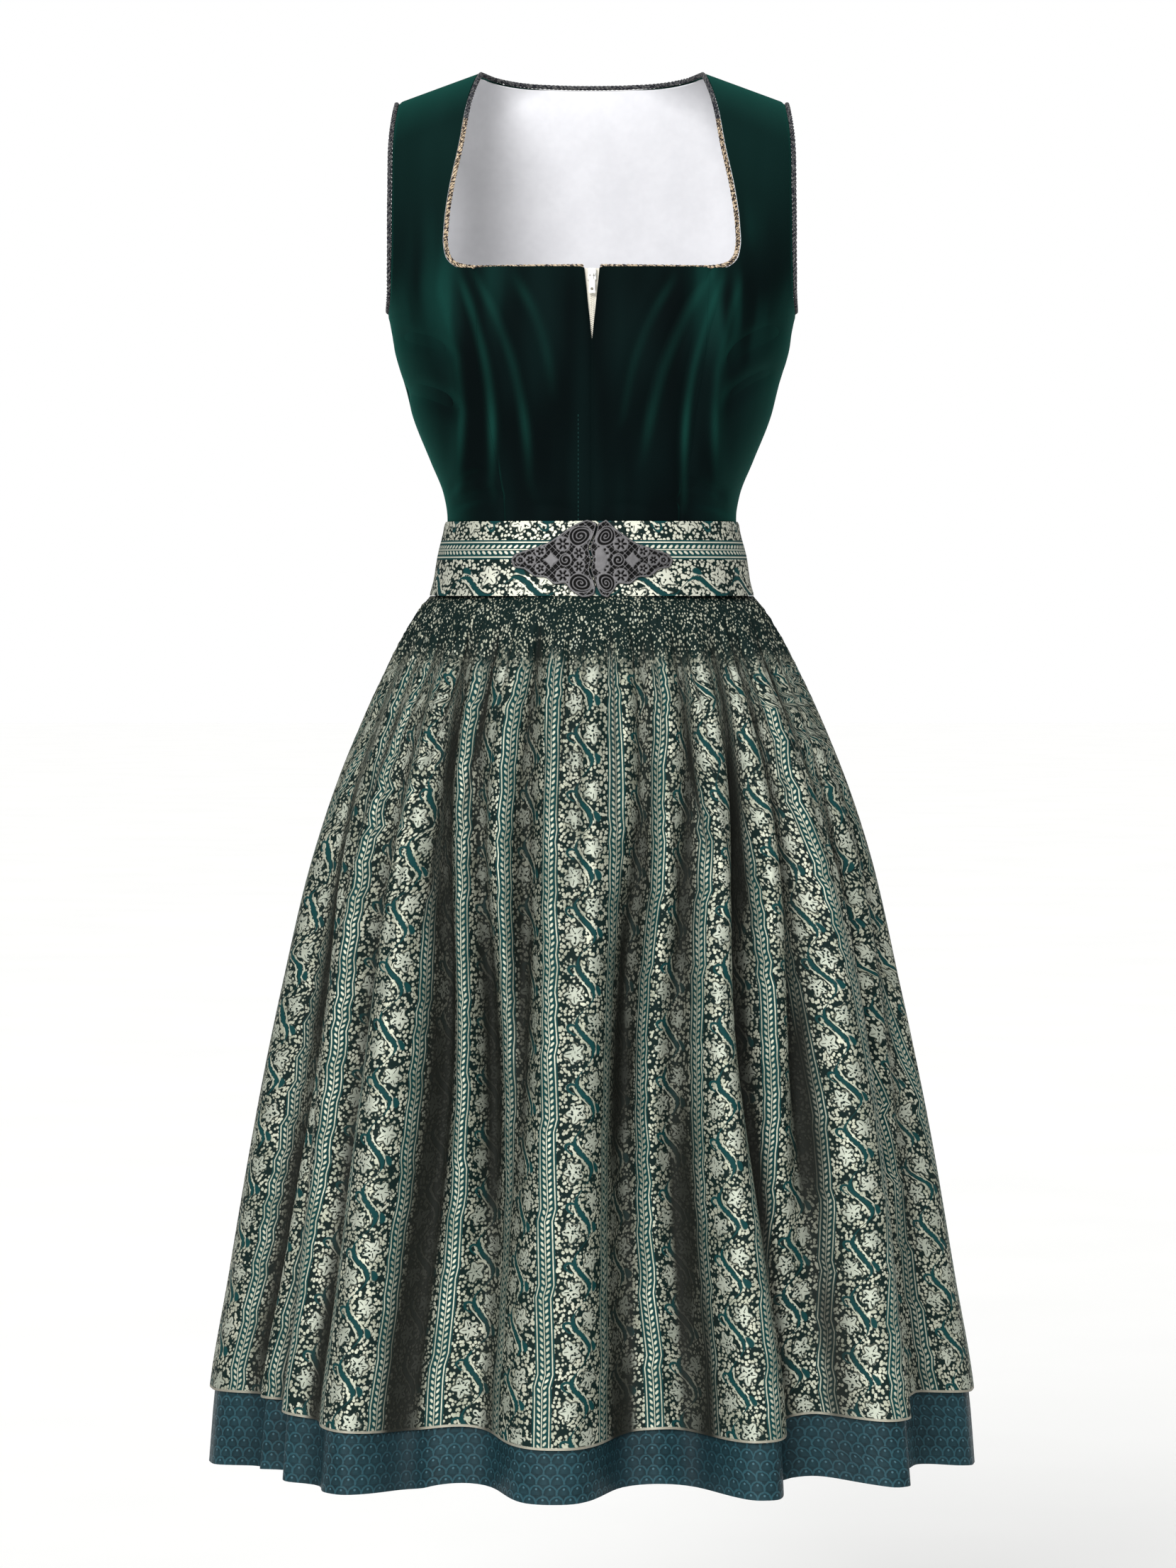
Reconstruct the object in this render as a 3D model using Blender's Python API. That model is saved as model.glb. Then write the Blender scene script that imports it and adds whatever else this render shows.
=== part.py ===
"""A worn dress and apron set: a sleeveless bodice, a long gathered skirt and a smocked apron.

Every cloth piece is a thin closed wall that follows one smooth form. The form is given by
sections of the torso and of the skirt, and by the folds that hang in the skirt. Sizes in the
tables are millimetres. The wearer's right side is at -X, the front faces -Y, and Z = 0 is at
the neck points of the shoulders.
"""

import math

import bmesh
import bpy
import numpy as np
from mathutils import Matrix, Vector
from mathutils.geometry import delaunay_2d_cdt

MM = 0.001

# Walls and gaps, in millimetres.
SEAM_GAP = 0.3
VELVET = 2.0
LINING = 1.0
SKIRT = 1.2
APRON = 1.2
BAND = 1.5
TRIM_RADIUS = 2.0

# The torso's sections: height, half width, depth to the front, depth to the back, middle.
TORSO_COLUMNS = ("z", "half_width", "front", "back", "middle")
TORSO = (
    (-430.0, 141.0, 115.0, 104.0, 5.0),
    (-407.5, 125.5, 102.5, 91.5, 5.0),
    (-375.0, 118.4, 96.5, 85.0, 5.0),
    (-350.0, 113.0, 92.0, 80.0, 5.0),
    (-328.0, 116.0, 93.0, 80.0, 5.0),
    (-303.0, 126.0, 96.0, 82.0, 4.0),
    (-266.0, 140.5, 101.0, 86.0, 3.0),
    (-248.0, 145.0, 104.0, 88.0, 3.0),
    (-217.0, 154.0, 107.0, 91.0, 2.0),
    (-190.0, 159.0, 107.0, 94.0, 2.0),
    (-155.0, 176.0, 102.0, 92.0, 3.0),
    (-100.0, 186.0, 90.0, 84.0, 6.0),
    (-60.0, 184.0, 82.0, 74.0, 8.0),
    (-24.0, 178.0, 74.0, 64.0, 10.0),
    (60.0, 172.0, 66.0, 54.0, 10.0),
)
ROUNDNESS = 2.5
BUST = {"x": 74.0, "z": -205.0, "out": 9.0, "wide": 36.0, "high": 42.0}

# The shoulder: where its ridge starts, its slope, and the depth over which it rounds off.
NECK_POINT_X = 89.0
SHOULDER_TIP_X = 150.5
SHOULDER_SLOPE = math.tan(math.radians(20.0))
NECK_SLOPE = 0.6
SHOULDER_ROUND = 40.0

# The square front neckline, the scooped back one, and the seams of the panels. The short
# tables of two columns give a height and the distance from the middle there.
NECK_FRONT_Z = -155.5
NECK_CORNER_X = 104.0
NECK_BACK_Z = -8.0
NECK_SIDE = (
    (-155.5, 104.0), (-153.0, 108.0), (-149.0, 111.5), (-141.0, 114.0),
    (-122.0, 114.0), (-95.0, 110.5), (-60.0, 103.0), (-20.0, 95.5), (0.0, 89.0),
)
ARMHOLE_BOTTOM = -190.0
ARMHOLE = (
    (-190.0, 159.0), (-178.0, 157.0), (-155.0, 155.8), (-100.0, 155.0), (-45.0, 153.5),
    (-22.3, 150.5),
)
FRONT_SEAM = (
    (-376.0, 68.0), (-335.0, 69.0), (-288.0, 77.5), (-231.0, 87.0), (-175.0, 90.0),
    (-155.5, 91.0),
)
BACK_SEAM = (
    (-376.0, 40.0), (-335.0, 42.0), (-260.0, 52.0), (-190.0, 60.0), (-100.0, 67.0),
    (0.0, 70.0),
)
WAIST_Z = -375.0

# The zip at the centre front: the cloth parts in a narrow V over its tape.
ZIP_GAP = ((-376.0, 0.15), (-214.0, 0.15), (-155.5, 5.9))
ZIP_BOTTOM = -216.0
ZIP_TAPE_HALF = 11.0
ZIP_TAPE = 0.9
COIL_HALF = 1.8
COIL_RISE = 0.8
SLIDER = {"top": -157.0, "long": 9.5, "wide": 6.6, "thick": 3.2, "edge": 0.6, "bar_clear": 1.2}
CHEEK = {"reach": 3.6, "past": 1.0, "apart": 1.9, "wide": 0.9, "long": 2.4, "edge": 0.2}
PULL = {"long": 15.0, "wide": 5.0, "thick": 1.2, "neck": 2.0, "bar": 0.6, "play": 0.3,
        "rim": 0.8, "neck_long": 4.0, "plate_from": 4.2, "hole": 1.3, "hole_low": 2.2,
        "cut": 6.0}

# The apron's band, which rests on the waist, and the zone of small gathers under it.
BAND_TOP = -350.0
BAND_BOTTOM = -407.5
BAND_LIFT = 2.2
SMOCKED_TO = -453.0
GATHERS = 84
GATHER_OUT = 1.5
APRON_SPREAD = (
    (-1045.0, 123.0), (-1000.0, 122.0), (-780.0, 119.0), (-620.0, 114.0), (-520.0, 104.0),
    (-460.0, 93.0), (-405.0, 83.0),
)
APRON_TO_DRESS = 3.2

# The skirt's sections at the crests of its folds.
SKIRT_COLUMNS = ("z", "half_width", "front", "back")
SKIRT_SECTIONS = (
    (-1085.0, 306.0, 252.0, 262.0),
    (-1020.0, 300.0, 247.0, 256.0),
    (-940.0, 286.0, 236.0, 244.0),
    (-829.0, 267.0, 219.0, 228.0),
    (-715.0, 244.0, 200.0, 208.0),
    (-610.0, 219.0, 180.0, 187.0),
    (-527.0, 190.0, 156.0, 163.0),
    (-490.0, 173.5, 143.0, 150.0),
    (-463.0, 159.5, 131.0, 138.0),
    (-432.0, 143.0, 117.0, 110.0),
    (-407.5, 126.8, 103.8, 93.0),
)
SKIRT_MIDDLE = ((-1085.0, 0.0), (-600.0, 0.0), (-407.5, 5.0))
SKIRT_ROUNDNESS = 2.1
DRESS_HEM = -1080.0
APRON_HEM_FRONT = -1040.0
APRON_HEM_SIDE = -1022.0

# The wide waves of the hem. The first column is the angle of each crest from the centre
# front, in degrees; the second is how deep the hollow is between it and the next crest.
CRESTS = (
    (-158.0, 40.0), (-125.0, 38.0), (-91.0, 20.0), (-36.0, 42.0), (-5.0, 44.0), (25.0, 42.0),
    (52.0, 30.0), (84.0, 38.0), (112.0, 42.0), (142.0, 40.0), (171.0, 42.0),
)
WAVE_START = -560.0
WAVE_HEM_RISE = 0.19
HEM_DROP = 4.0
CREST_ROUND = 1.4

# The folds that run down the skirt: the angle of each valley at the head, halfway and at
# the hem, its depth in the same three places, and its half width halfway.
FOLD_COLUMNS = ("top", "mid", "hem", "deep_top", "deep_mid", "deep_hem", "wide")
FOLDS = (
    (-72.0, -74.0, -73.0, 4.0, 12.0, 14.0, 13.0),
    (-61.0, -66.0, -62.0, 5.0, 16.0, 15.0, 13.0),
    (-51.0, -49.0, -47.5, 7.0, 15.0, 13.0, 12.0),
    (-39.5, -30.5, -30.5, 9.0, 21.0, 22.0, 13.0),
    (-30.0, -20.5, -16.0, 8.0, 17.0, 9.0, 11.0),
    (-15.0, -12.5, -13.0, 9.0, 15.0, 0.0, 10.0),
    (-4.5, -3.0, -3.0, 5.0, 3.0, 0.0, 8.0),
    (4.5, 3.5, 4.0, 5.0, 2.0, 0.0, 8.0),
    (14.5, 6.5, 4.4, 9.0, 19.0, 17.0, 11.0),
    (26.0, 16.5, 16.5, 9.0, 14.0, 19.0, 12.0),
    (39.0, 30.5, 33.5, 9.0, 21.0, 19.0, 12.0),
    (48.5, 45.0, 43.5, 8.0, 17.0, 9.0, 12.0),
    (62.0, 67.0, 60.0, 6.0, 16.0, 17.0, 13.0),
    (77.0, 79.0, 72.0, 4.0, 7.0, 6.0, 12.0),
    (102.0, 102.0, 99.0, 5.0, 14.0, 18.0, 13.0),
    (118.0, 120.0, 124.0, 6.0, 15.0, 16.0, 13.0),
    (135.0, 134.0, 131.0, 6.0, 17.0, 19.0, 13.0),
    (152.0, 150.0, 155.0, 6.0, 15.0, 17.0, 13.0),
    (167.0, 165.0, 163.0, 6.0, 18.0, 16.0, 13.0),
    (184.0, 182.0, 180.0, 6.0, 16.0, 18.0, 13.0),
    (203.0, 199.0, 197.0, 6.0, 19.0, 17.0, 13.0),
    (219.0, 216.0, 219.0, 6.0, 15.0, 18.0, 13.0),
    (236.0, 234.0, 233.0, 5.0, 17.0, 15.0, 13.0),
    (253.0, 250.0, 254.0, 5.0, 14.0, 18.0, 13.0),
)
FOLD_LEVELS = (-463.0, -715.0, -1000.0)
FOLD_START = -415.0

# The clasp of two hooked halves: its outline from the tip to the middle, in millimetres
# from the clasp's centre, and the openings in its filigree as circles.
CLASP_Z = -380.5
CLASP_THICK = 2.0
CLASP_GAP = 0.5
CLASP_TOP = (
    (-61.0, 0.0), (-57.5, 4.5), (-47.0, 8.0), (-34.0, 12.5), (-25.0, 18.5), (-14.0, 27.0),
    (-7.0, 31.0), (0.0, 28.0),
)
CLASP_BOTTOM = (
    (-58.5, -5.5), (-51.0, -7.0), (-44.0, -12.5), (-35.0, -13.5), (-29.0, -18.5),
    (-20.0, -18.5), (-16.5, -23.5), (-9.5, -29.5), (-2.5, -27.5), (0.0, -21.0),
)
CLASP_HOLE_COLUMNS = ("x", "z", "radius")
CLASP_HOLES = (
    (-50.0, 0.5, 2.4), (-36.5, 5.0, 2.6), (-36.0, -6.0, 2.6), (-23.0, 10.0, 2.8),
    (-22.0, -11.0, 2.8), (-10.0, 21.0, 2.6), (-10.5, -21.0, 2.5), (-9.5, 5.5, 3.0),
    (-9.5, -6.5, 3.0),
)
CLASP_GRID = 7.5

# Each material's colour, roughness and metallic value.
MATERIALS = {
    "velvet": ((0.010, 0.045, 0.036), 0.75, 0.0),
    "apron_cloth": ((0.16, 0.27, 0.22), 0.5, 0.0),
    "skirt_cloth": ((0.010, 0.10, 0.12), 0.5, 0.0),
    "lining": ((0.80, 0.79, 0.82), 0.8, 0.0),
    "braid": ((0.30, 0.22, 0.14), 0.7, 0.0),
    "zip_cloth": ((0.80, 0.78, 0.72), 0.8, 0.0),
    "zip_metal": ((0.85, 0.85, 0.83), 0.4, 0.0),
    "pewter": ((0.32, 0.31, 0.29), 0.38, 1.0),
}


def empty_scene():
    """Removes what the file starts with."""
    for obj in list(bpy.data.objects):
        bpy.data.objects.remove(obj)


def curve(table, z, column=1):
    """A smooth line through one column of a table of heights, in either order."""
    rows = np.array(sorted(table), float)
    at, value = rows[:, 0], rows[:, column]
    slope = np.gradient(value, at)
    z = np.clip(np.asarray(z, float), at[0], at[-1])
    k = np.clip(np.searchsorted(at, z, side="right") - 1, 0, len(at) - 2)
    step = at[k + 1] - at[k]
    t = (z - at[k]) / step
    blend = t * t * (3 - 2 * t)
    bend = t * (1 - t) * ((1 - t) * slope[k] - t * slope[k + 1]) * step
    return value[k] + blend * (value[k + 1] - value[k]) + bend


def smooth(low, high, value):
    """Rises from 0 at low to 1 at high along a soft S."""
    t = np.clip((value - low) / (high - low), 0.0, 1.0)
    return t * t * (3 - 2 * t)


def spread(start, end, count):
    return np.linspace(start, end, count)


# The torso's form.


def ridge(x):
    """The height of the shoulder's ridge, which falls outward from the neck point."""
    x = np.abs(x)
    slope = np.where(x > NECK_POINT_X, -SHOULDER_SLOPE, -NECK_SLOPE)
    return slope * (x - NECK_POINT_X)


def torso(name, z):
    """One column of the torso's table at a height."""
    return curve(TORSO, z, TORSO_COLUMNS.index(name))


def skirt(name, z):
    """One column of the skirt's table at a height."""
    return curve(SKIRT_SECTIONS, z, SKIRT_COLUMNS.index(name))


def torso_point(x, z, side):
    """The form at a width and a height, on the front (side -1) or the back (side 1)."""
    x, z = np.broadcast_arrays(np.asarray(x, float), np.asarray(z, float))
    width = torso("half_width", z)
    depth = torso("front" if side < 0 else "back", z)
    share = np.clip(np.abs(x) / width, 0.0, 1.0)
    depth = depth * (1 - share**ROUNDNESS) ** (1 / ROUNDNESS)
    if side < 0:
        apart = ((np.abs(x) - BUST["x"]) / BUST["wide"]) ** 2
        apart = apart + ((z - BUST["z"]) / BUST["high"]) ** 2
        depth = depth + BUST["out"] * np.exp(-apart / 2) * (1 - share**8)
    below = np.clip((ridge(x) - z) / SHOULDER_ROUND, 0.0, 1.0)
    rounded = np.sqrt(np.clip(1 - (1 - below) ** 2, 0.0, 1.0))
    y = torso("middle", z) + side * depth * rounded
    return np.stack([x, y, z], -1)


def torso_turn(turn, z):
    """The same form by angle from the centre front, for where it closes at the side."""
    turn, z = np.broadcast_arrays(np.asarray(turn, float), np.asarray(z, float))
    share = np.abs(np.sin(turn)) ** (2 / ROUNDNESS)
    x = np.sign(np.sin(turn)) * share * torso("half_width", z)
    front = torso_point(x, z, -1)
    back = torso_point(x, z, 1)
    return np.where((np.cos(turn) > 0)[..., None], front, back)


def turn_at(x, z, side):
    """The angle from the centre front of the form's point at a width."""
    share = np.clip(np.abs(x) / torso("half_width", z), 0.0, 1.0)
    turn = np.arcsin(share ** (ROUNDNESS / 2))
    turn = np.where(side < 0, turn, math.pi - turn)
    return turn * np.where(np.asarray(x) < 0, -1.0, 1.0)


def grid_normals(points):
    """Unit normals of a grid of points, from its own neighbours, pointing out."""
    across = np.gradient(points, axis=1)
    along = np.gradient(points, axis=0)
    normal = np.cross(across, along)
    return normal / np.maximum(np.linalg.norm(normal, axis=-1, keepdims=True), 1e-9)


# Meshes.


def material(name):
    made = bpy.data.materials.get(name)
    if made:
        return made
    colour, roughness, metallic = MATERIALS[name]
    made = bpy.data.materials.new(name)
    made.use_nodes = True
    shader = made.node_tree.nodes["Principled BSDF"]
    shader.inputs["Base Color"].default_value = (*colour, 1.0)
    shader.inputs["Roughness"].default_value = roughness
    shader.inputs["Metallic"].default_value = metallic
    made.diffuse_color = (*colour, 1.0)
    return made


def add_object(name, points, faces, finish):
    """One named object from points in millimetres and faces, its normals facing out."""
    mesh = bpy.data.meshes.new(name)
    mesh.from_pydata((np.asarray(points, float) * MM).tolist(), [], faces)
    work = bmesh.new()
    work.from_mesh(mesh)
    bmesh.ops.remove_doubles(work, verts=work.verts, dist=0.00001)
    bmesh.ops.recalc_face_normals(work, faces=work.faces)
    work.to_mesh(mesh)
    work.free()
    mesh.materials.append(material(finish))
    mesh.shade_smooth()
    mesh.set_sharp_from_angle(angle=math.radians(40.0))
    obj = bpy.data.objects.new(name, mesh)
    bpy.context.scene.collection.objects.link(obj)
    return obj


def wall(name, outer, inner, finish, present=None, closed=False):
    """A closed wall between two grids of the same size; present marks the quads it has."""
    rows, columns = outer.shape[:2]
    cells = columns if closed else columns - 1
    if present is None:
        present = np.ones((rows - 1, cells), bool)
    inside = rows * columns

    def at(row, column):
        return row * columns + column % columns

    faces = []
    for row in range(rows - 1):
        for cell in range(cells):
            if not present[row, cell]:
                continue
            ring = (at(row, cell), at(row, cell + 1), at(row + 1, cell + 1), at(row + 1, cell))
            for corners in ((0, 1, 3), (1, 2, 3)):
                triangle = tuple(ring[corner] for corner in corners)
                faces.append(triangle)
                faces.append(tuple(inside + point for point in reversed(triangle)))
            left = (cell - 1) % cells if closed else cell - 1
            right = (cell + 1) % cells if closed else cell + 1
            beside = (
                row > 0 and present[row - 1, cell],
                right < cells and present[row, right],
                row < rows - 2 and present[row + 1, cell],
                left >= 0 and present[row, left],
            )
            for edge, covered in enumerate(beside):
                if covered:
                    continue
                a, b = ring[edge], ring[(edge + 1) % 4]
                faces.append((a, inside + a, inside + b, b))
    points = np.concatenate([outer.reshape(-1, 3), inner.reshape(-1, 3)])
    used = sorted({index for face in faces for index in face})
    renumber = {old: new for new, old in enumerate(used)}
    faces = [tuple(renumber[index] for index in face) for face in faces]
    return add_object(name, points[used], faces, finish)


def stitch(first, second, first_at, second_at):
    """Triangles between two rows of point numbers that need not have as many points."""
    faces = []
    i = j = 0
    while i < len(first) - 1 or j < len(second) - 1:
        step_first = j == len(second) - 1 or (
            i < len(first) - 1 and first_at[i + 1] <= second_at[j + 1] + 1e-9
        )
        if step_first:
            faces.append((first[i], first[i + 1], second[j]))
            i += 1
        else:
            faces.append((first[i], second[j + 1], second[j]))
            j += 1
    return faces


def tube(name, path, outward, radius, sides, finish, closed=False):
    """A round cord along a path; outward fixes how its sides are turned."""
    along = np.gradient(path, axis=0)
    if closed:
        along = np.roll(path, -1, 0) - np.roll(path, 1, 0)
    along /= np.linalg.norm(along, axis=1, keepdims=True)
    first = outward - along * (outward * along).sum(1, keepdims=True)
    first /= np.linalg.norm(first, axis=1, keepdims=True)
    second = np.cross(along, first)
    turns = 2 * math.pi * np.arange(sides) / sides
    ring = np.cos(turns)[None, :, None] * first[:, None] + np.sin(turns)[None, :, None] * second[:, None]
    points = path[:, None] + radius * ring
    count = len(path)
    faces = []
    for step in range(count if closed else count - 1):
        here, there = step * sides, (step + 1) % count * sides
        for side in range(sides):
            after = (side + 1) % sides
            faces.append((here + side, here + after, there + after, there + side))
    if not closed:
        faces.append(tuple(range(sides)))
        faces.append(tuple((count - 1) * sides + side for side in reversed(range(sides))))
    return add_object(name, points.reshape(-1, 3), faces, finish)


# The bodice.

LOWER_ROWS = (-375.0, -350.0, -318.0, -280.0, -245.0, -214.0, -190.0)
ARM_ROWS = (-186.0, -178.0, -167.0)
PLAIN_RISE = (-141.0, -122.0, -95.0)
FRONT_TURNS = (90.0, 60.0, 36.0, 15.0, 0.0)
BACK_RISE = (-186.0, -178.0, -162.0, -118.0, -75.0)
BACK_TURNS = (66.0, 42.0, 24.0, 9.0, 0.0)
FRONT_COLUMNS = 6
SIDE_COLUMNS = 7
CORNER_COLUMN = 2
BACK_COLUMNS = 9


def neck_side(z):
    return curve(NECK_SIDE, z)


def armhole_x(z):
    return np.minimum(curve(ARMHOLE, z), torso("half_width", z))


def back_seam(z):
    return curve(BACK_SEAM, z)


def back_top(x):
    """The height of the back's upper edge: the scooped neckline, then the ridge."""
    x = np.abs(x)
    scoop = NECK_BACK_Z * (1 - np.clip(x / NECK_POINT_X, 0, 1) ** 2.5)
    return np.where(x < NECK_POINT_X, scoop, ridge(x))


def side_turns(z, x_inner, side, columns):
    """Angles from a seam to the armhole's edge, or to the side seam below the armhole."""
    start = turn_at(x_inner, z, side)
    if z > ARMHOLE_BOTTOM + 0.01:
        end = turn_at(armhole_x(z), z, side)
    else:
        end = math.pi / 2
    return spread(float(start), float(end), columns)


def rising_rows(levels, top, depths, x_inner, x_outer, columns):
    """Rows of x and z over a strap: level ones, then ones a set depth below its top."""
    across = spread(0.0, 1.0, columns)
    made = []
    for z in levels:
        low, high = x_inner(z), x_outer(z)
        made.append((low + (high - low) * across, np.full(columns, z)))
    for below in depths:
        height = np.full(columns, -40.0)
        for _ in range(6):
            low, high = x_inner(height), x_outer(height)
            x = low + (high - low) * across
            height = top(x) - below
        made.append((x, height))
    return made


def round_depths(turns, radius):
    """Depths below the ridge that space the rows evenly round it."""
    return [radius * (1 - math.cos(math.radians(turn))) for turn in turns]


def tidy_normals(grid, side_seams, ridge_columns):
    """The grid's normals, made level at the side seams and upright along the ridge."""
    normal = grid_normals(grid)
    normal[: len(LOWER_ROWS), side_seams, 1] = 0.0
    normal[-1, ridge_columns, 1] = 0.0
    return normal / np.linalg.norm(normal, axis=-1, keepdims=True)


def front_half():
    """The right half of the front from the zip to the side: points, normals and quads."""
    rows = []
    for z in (*LOWER_ROWS, *ARM_ROWS, NECK_FRONT_Z):
        start = float(np.interp(z, *zip(*ZIP_GAP)))
        seam = float(curve(FRONT_SEAM, z))
        centre = torso_point(spread(start, seam, FRONT_COLUMNS), z, -1)
        side = torso_turn(side_turns(z, seam, -1, SIDE_COLUMNS), z)
        if z == NECK_FRONT_Z:
            corner = spread(seam, NECK_CORNER_X, CORNER_COLUMN + 1)
            rest = spread(NECK_CORNER_X, float(armhole_x(z)), SIDE_COLUMNS - CORNER_COLUMN)
            side = torso_point(np.concatenate([corner, rest[1:]]), z, -1)
        rows.append(np.concatenate([centre, side[1:]]))
    lower = len(rows)
    absent = FRONT_COLUMNS - 1 + CORNER_COLUMN
    strap = SIDE_COLUMNS - CORNER_COLUMN
    depths = round_depths(FRONT_TURNS, SHOULDER_ROUND)
    levels = (-153.0, -149.0, *PLAIN_RISE)
    for x, z in rising_rows(levels, ridge, depths, neck_side, armhole_x, strap):
        upper = torso_point(x, z, -1)
        steps = np.arange(-absent, 0)[:, None] * np.array([4.0, 0.0, 0.0])
        rows.append(np.concatenate([upper[:1] + steps, upper]))
    grid = np.array(rows)
    normal = tidy_normals(grid, [-1], slice(None))
    grid[-1, :, 1] -= SEAM_GAP / 2
    grid[: len(LOWER_ROWS), -1, 1] -= SEAM_GAP / 2
    present = np.ones((len(rows) - 1, grid.shape[1] - 1), bool)
    present[lower - 1 :, :absent] = False
    return grid, normal, present


def whole_back():
    """The whole back, from its left side round to its right: points and normals."""
    rows = []

    def join(left, centre):
        right = left[::-1] * np.array([-1.0, 1.0, 1.0])
        return np.concatenate([left, centre[1:-1], right])

    for z in LOWER_ROWS:
        seam = float(back_seam(z))
        side = torso_turn(side_turns(z, seam, 1, SIDE_COLUMNS), z)[::-1]
        rows.append(join(side, torso_point(spread(seam, -seam, BACK_COLUMNS), z, 1)))
    depths = round_depths(BACK_TURNS, SHOULDER_ROUND)
    sides = rising_rows(BACK_RISE, back_top, depths, armhole_x, back_seam, SIDE_COLUMNS)
    middle = rising_rows(BACK_RISE, back_top, depths, back_seam, lambda z: -back_seam(z),
                         BACK_COLUMNS)
    for (x, z), (centre_x, centre_z) in zip(sides, middle):
        rows.append(join(torso_point(x, z, 1), torso_point(centre_x, centre_z, 1)))
    grid = np.array(rows)
    on_ridge = np.abs(grid[-1, :, 0]) >= NECK_POINT_X
    return grid, tidy_normals(grid, [0, -1], on_ridge)


def part_seam(grid, column, inward):
    """Draws one edge column of a grid in by half a seam's gap, towards its neighbour."""
    step = grid[:, column + inward] - grid[:, column]
    size = np.linalg.norm(step, axis=1, keepdims=True)
    grid[:, column] += SEAM_GAP / 2 * step / np.maximum(size, 1e-6)


def slice_panel(name, grid, normal, start, stop, flip, present=None):
    """One velvet panel from some of a grid's columns, mirrored where flip says so."""
    part = grid[:, start : stop + 1].copy()
    facing = normal[:, start : stop + 1]
    if present is not None:
        present = present[:, start:stop]
        rows = present.any(1)
        count = int(rows.sum())
        part, facing, present = part[: count + 1], facing[: count + 1], present[:count]
    if start > 0:
        part_seam(part, 0, 1)
    if stop < grid.shape[1] - 1:
        part_seam(part, part.shape[1] - 1, -1)
    sign = np.array([-1.0 if flip else 1.0, 1.0, 1.0])
    wall(name, part * sign, (part - VELVET * facing) * sign, "velvet", present)


def make_bodice(front, back_form):
    grid, normal, present = front
    last = grid.shape[1] - 1
    seam = FRONT_COLUMNS - 1
    for side, flip in (("left", False), ("right", True)):
        slice_panel(f"bodice_front_{side}", grid, normal, 0, seam, flip, present)
        slice_panel(f"bodice_side_front_{side}", grid, normal, seam, last, flip, present)
    grid, normal = back_form
    lining = grid.copy()
    back = grid.copy()
    back[-1, np.abs(grid[-1, :, 0]) >= NECK_POINT_X - 1.0, 1] += SEAM_GAP / 2
    back[: len(LOWER_ROWS), [0, -1], 1] += SEAM_GAP / 2
    last = grid.shape[1] - 1
    seam = SIDE_COLUMNS - 1
    slice_panel("bodice_side_back_left", back, normal, 0, seam, False)
    slice_panel("bodice_back_centre", back, normal, seam, last - seam, False)
    slice_panel("bodice_side_back_right", back, normal, last - seam, last, False)
    depth = VELVET + 3.1 * SEAM_GAP
    outer = (lining - depth * normal)[1:, 1:-1]
    inner = (lining - (depth + LINING) * normal)[1:, 1:-1]
    wall("back_lining", outer, inner, "lining")


# The trims.


def beside_edge(edge, normal, away):
    """Moves an edge's points off the cloth by a cord's radius, to the side of away."""
    along = np.gradient(edge, axis=0)
    off = np.cross(along, normal)
    off /= np.linalg.norm(off, axis=1, keepdims=True)
    off *= np.sign((off * np.array(away)).sum(1, keepdims=True))
    return edge + (TRIM_RADIUS + SEAM_GAP) * off - VELVET / 2 * normal


def make_neck_trim(front, back):
    """The cord round the neckline: along the front, up the straps and round the back."""
    grid, normal, present = front
    corner = FRONT_COLUMNS - 1 + CORNER_COLUMN
    level = int(present[:, 0].sum())
    edge = np.concatenate([grid[level, :corner], grid[level:-1, corner]])
    facing = np.concatenate([normal[level, :corner], normal[level:-1, corner]])
    rising = beside_edge(edge, facing, (-1.0, 0.0, 1.0))
    start = TRIM_RADIUS + SEAM_GAP + float(edge[0, 0])
    rising[0, 0] = start - TRIM_RADIUS
    grid_back, normal_back = back
    across = grid_back[-1, :, 0]
    scoop = np.flatnonzero((across < NECK_POINT_X - 6.0) & (across > -1e-6))
    falling = beside_edge(grid_back[-1, scoop], normal_back[-1, scoop], (-1.0, 0.0, 1.0))
    lift = TRIM_RADIUS + SEAM_GAP
    over = np.array([[NECK_POINT_X - lift, float(torso("middle", 0.0)), 0.0]])
    half = np.concatenate([rising, over, falling])
    out = np.concatenate([facing, [[0.0, 0.0, 1.0]], normal_back[-1, scoop]])
    flip = np.array([-1.0, 1.0, 1.0])
    path = np.concatenate([half, (half * flip)[-2::-1]])
    outward = np.concatenate([out, (out * flip)[-2::-1]])
    tube("neck_trim", path, outward, TRIM_RADIUS, 6, "braid")


def make_armhole_trims(front, back):
    """A closed cord round each armhole."""
    grid, normal, _ = front
    first = len(LOWER_ROWS)
    down = slice(None, first - 1, -1)
    rising = beside_edge(grid[down, -1][1:], normal[down, -1][1:], (1.0, 0.0, 0.3))
    grid_back, normal_back = back
    falling = beside_edge(grid_back[first:-1, 0], normal_back[first:-1, 0], (1.0, 0.0, 0.3))
    lift = TRIM_RADIUS + SEAM_GAP
    tip_z = float(ridge(SHOULDER_TIP_X))
    top = np.array([[SHOULDER_TIP_X + lift, float(torso("middle", tip_z)), tip_z - 1.0]])
    low = np.array([[float(torso("half_width", -190.0)) - VELVET / 2, 2.0,
                     ARMHOLE_BOTTOM + lift + 4 * SEAM_GAP]])
    path = np.concatenate([top, rising, low, falling])
    outward = np.concatenate([[[0.0, 0.0, 1.0]], normal[down, -1][1:], [[1.0, 0.0, 0.0]],
                              normal_back[first:-1, 0]])
    for side, sign in (("left", 1.0), ("right", -1.0)):
        flip = np.array([sign, 1.0, 1.0])
        tube(f"armhole_trim_{side}", path * flip, outward * flip, TRIM_RADIUS, 6, "braid",
             closed=True)


# The zip.


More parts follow.
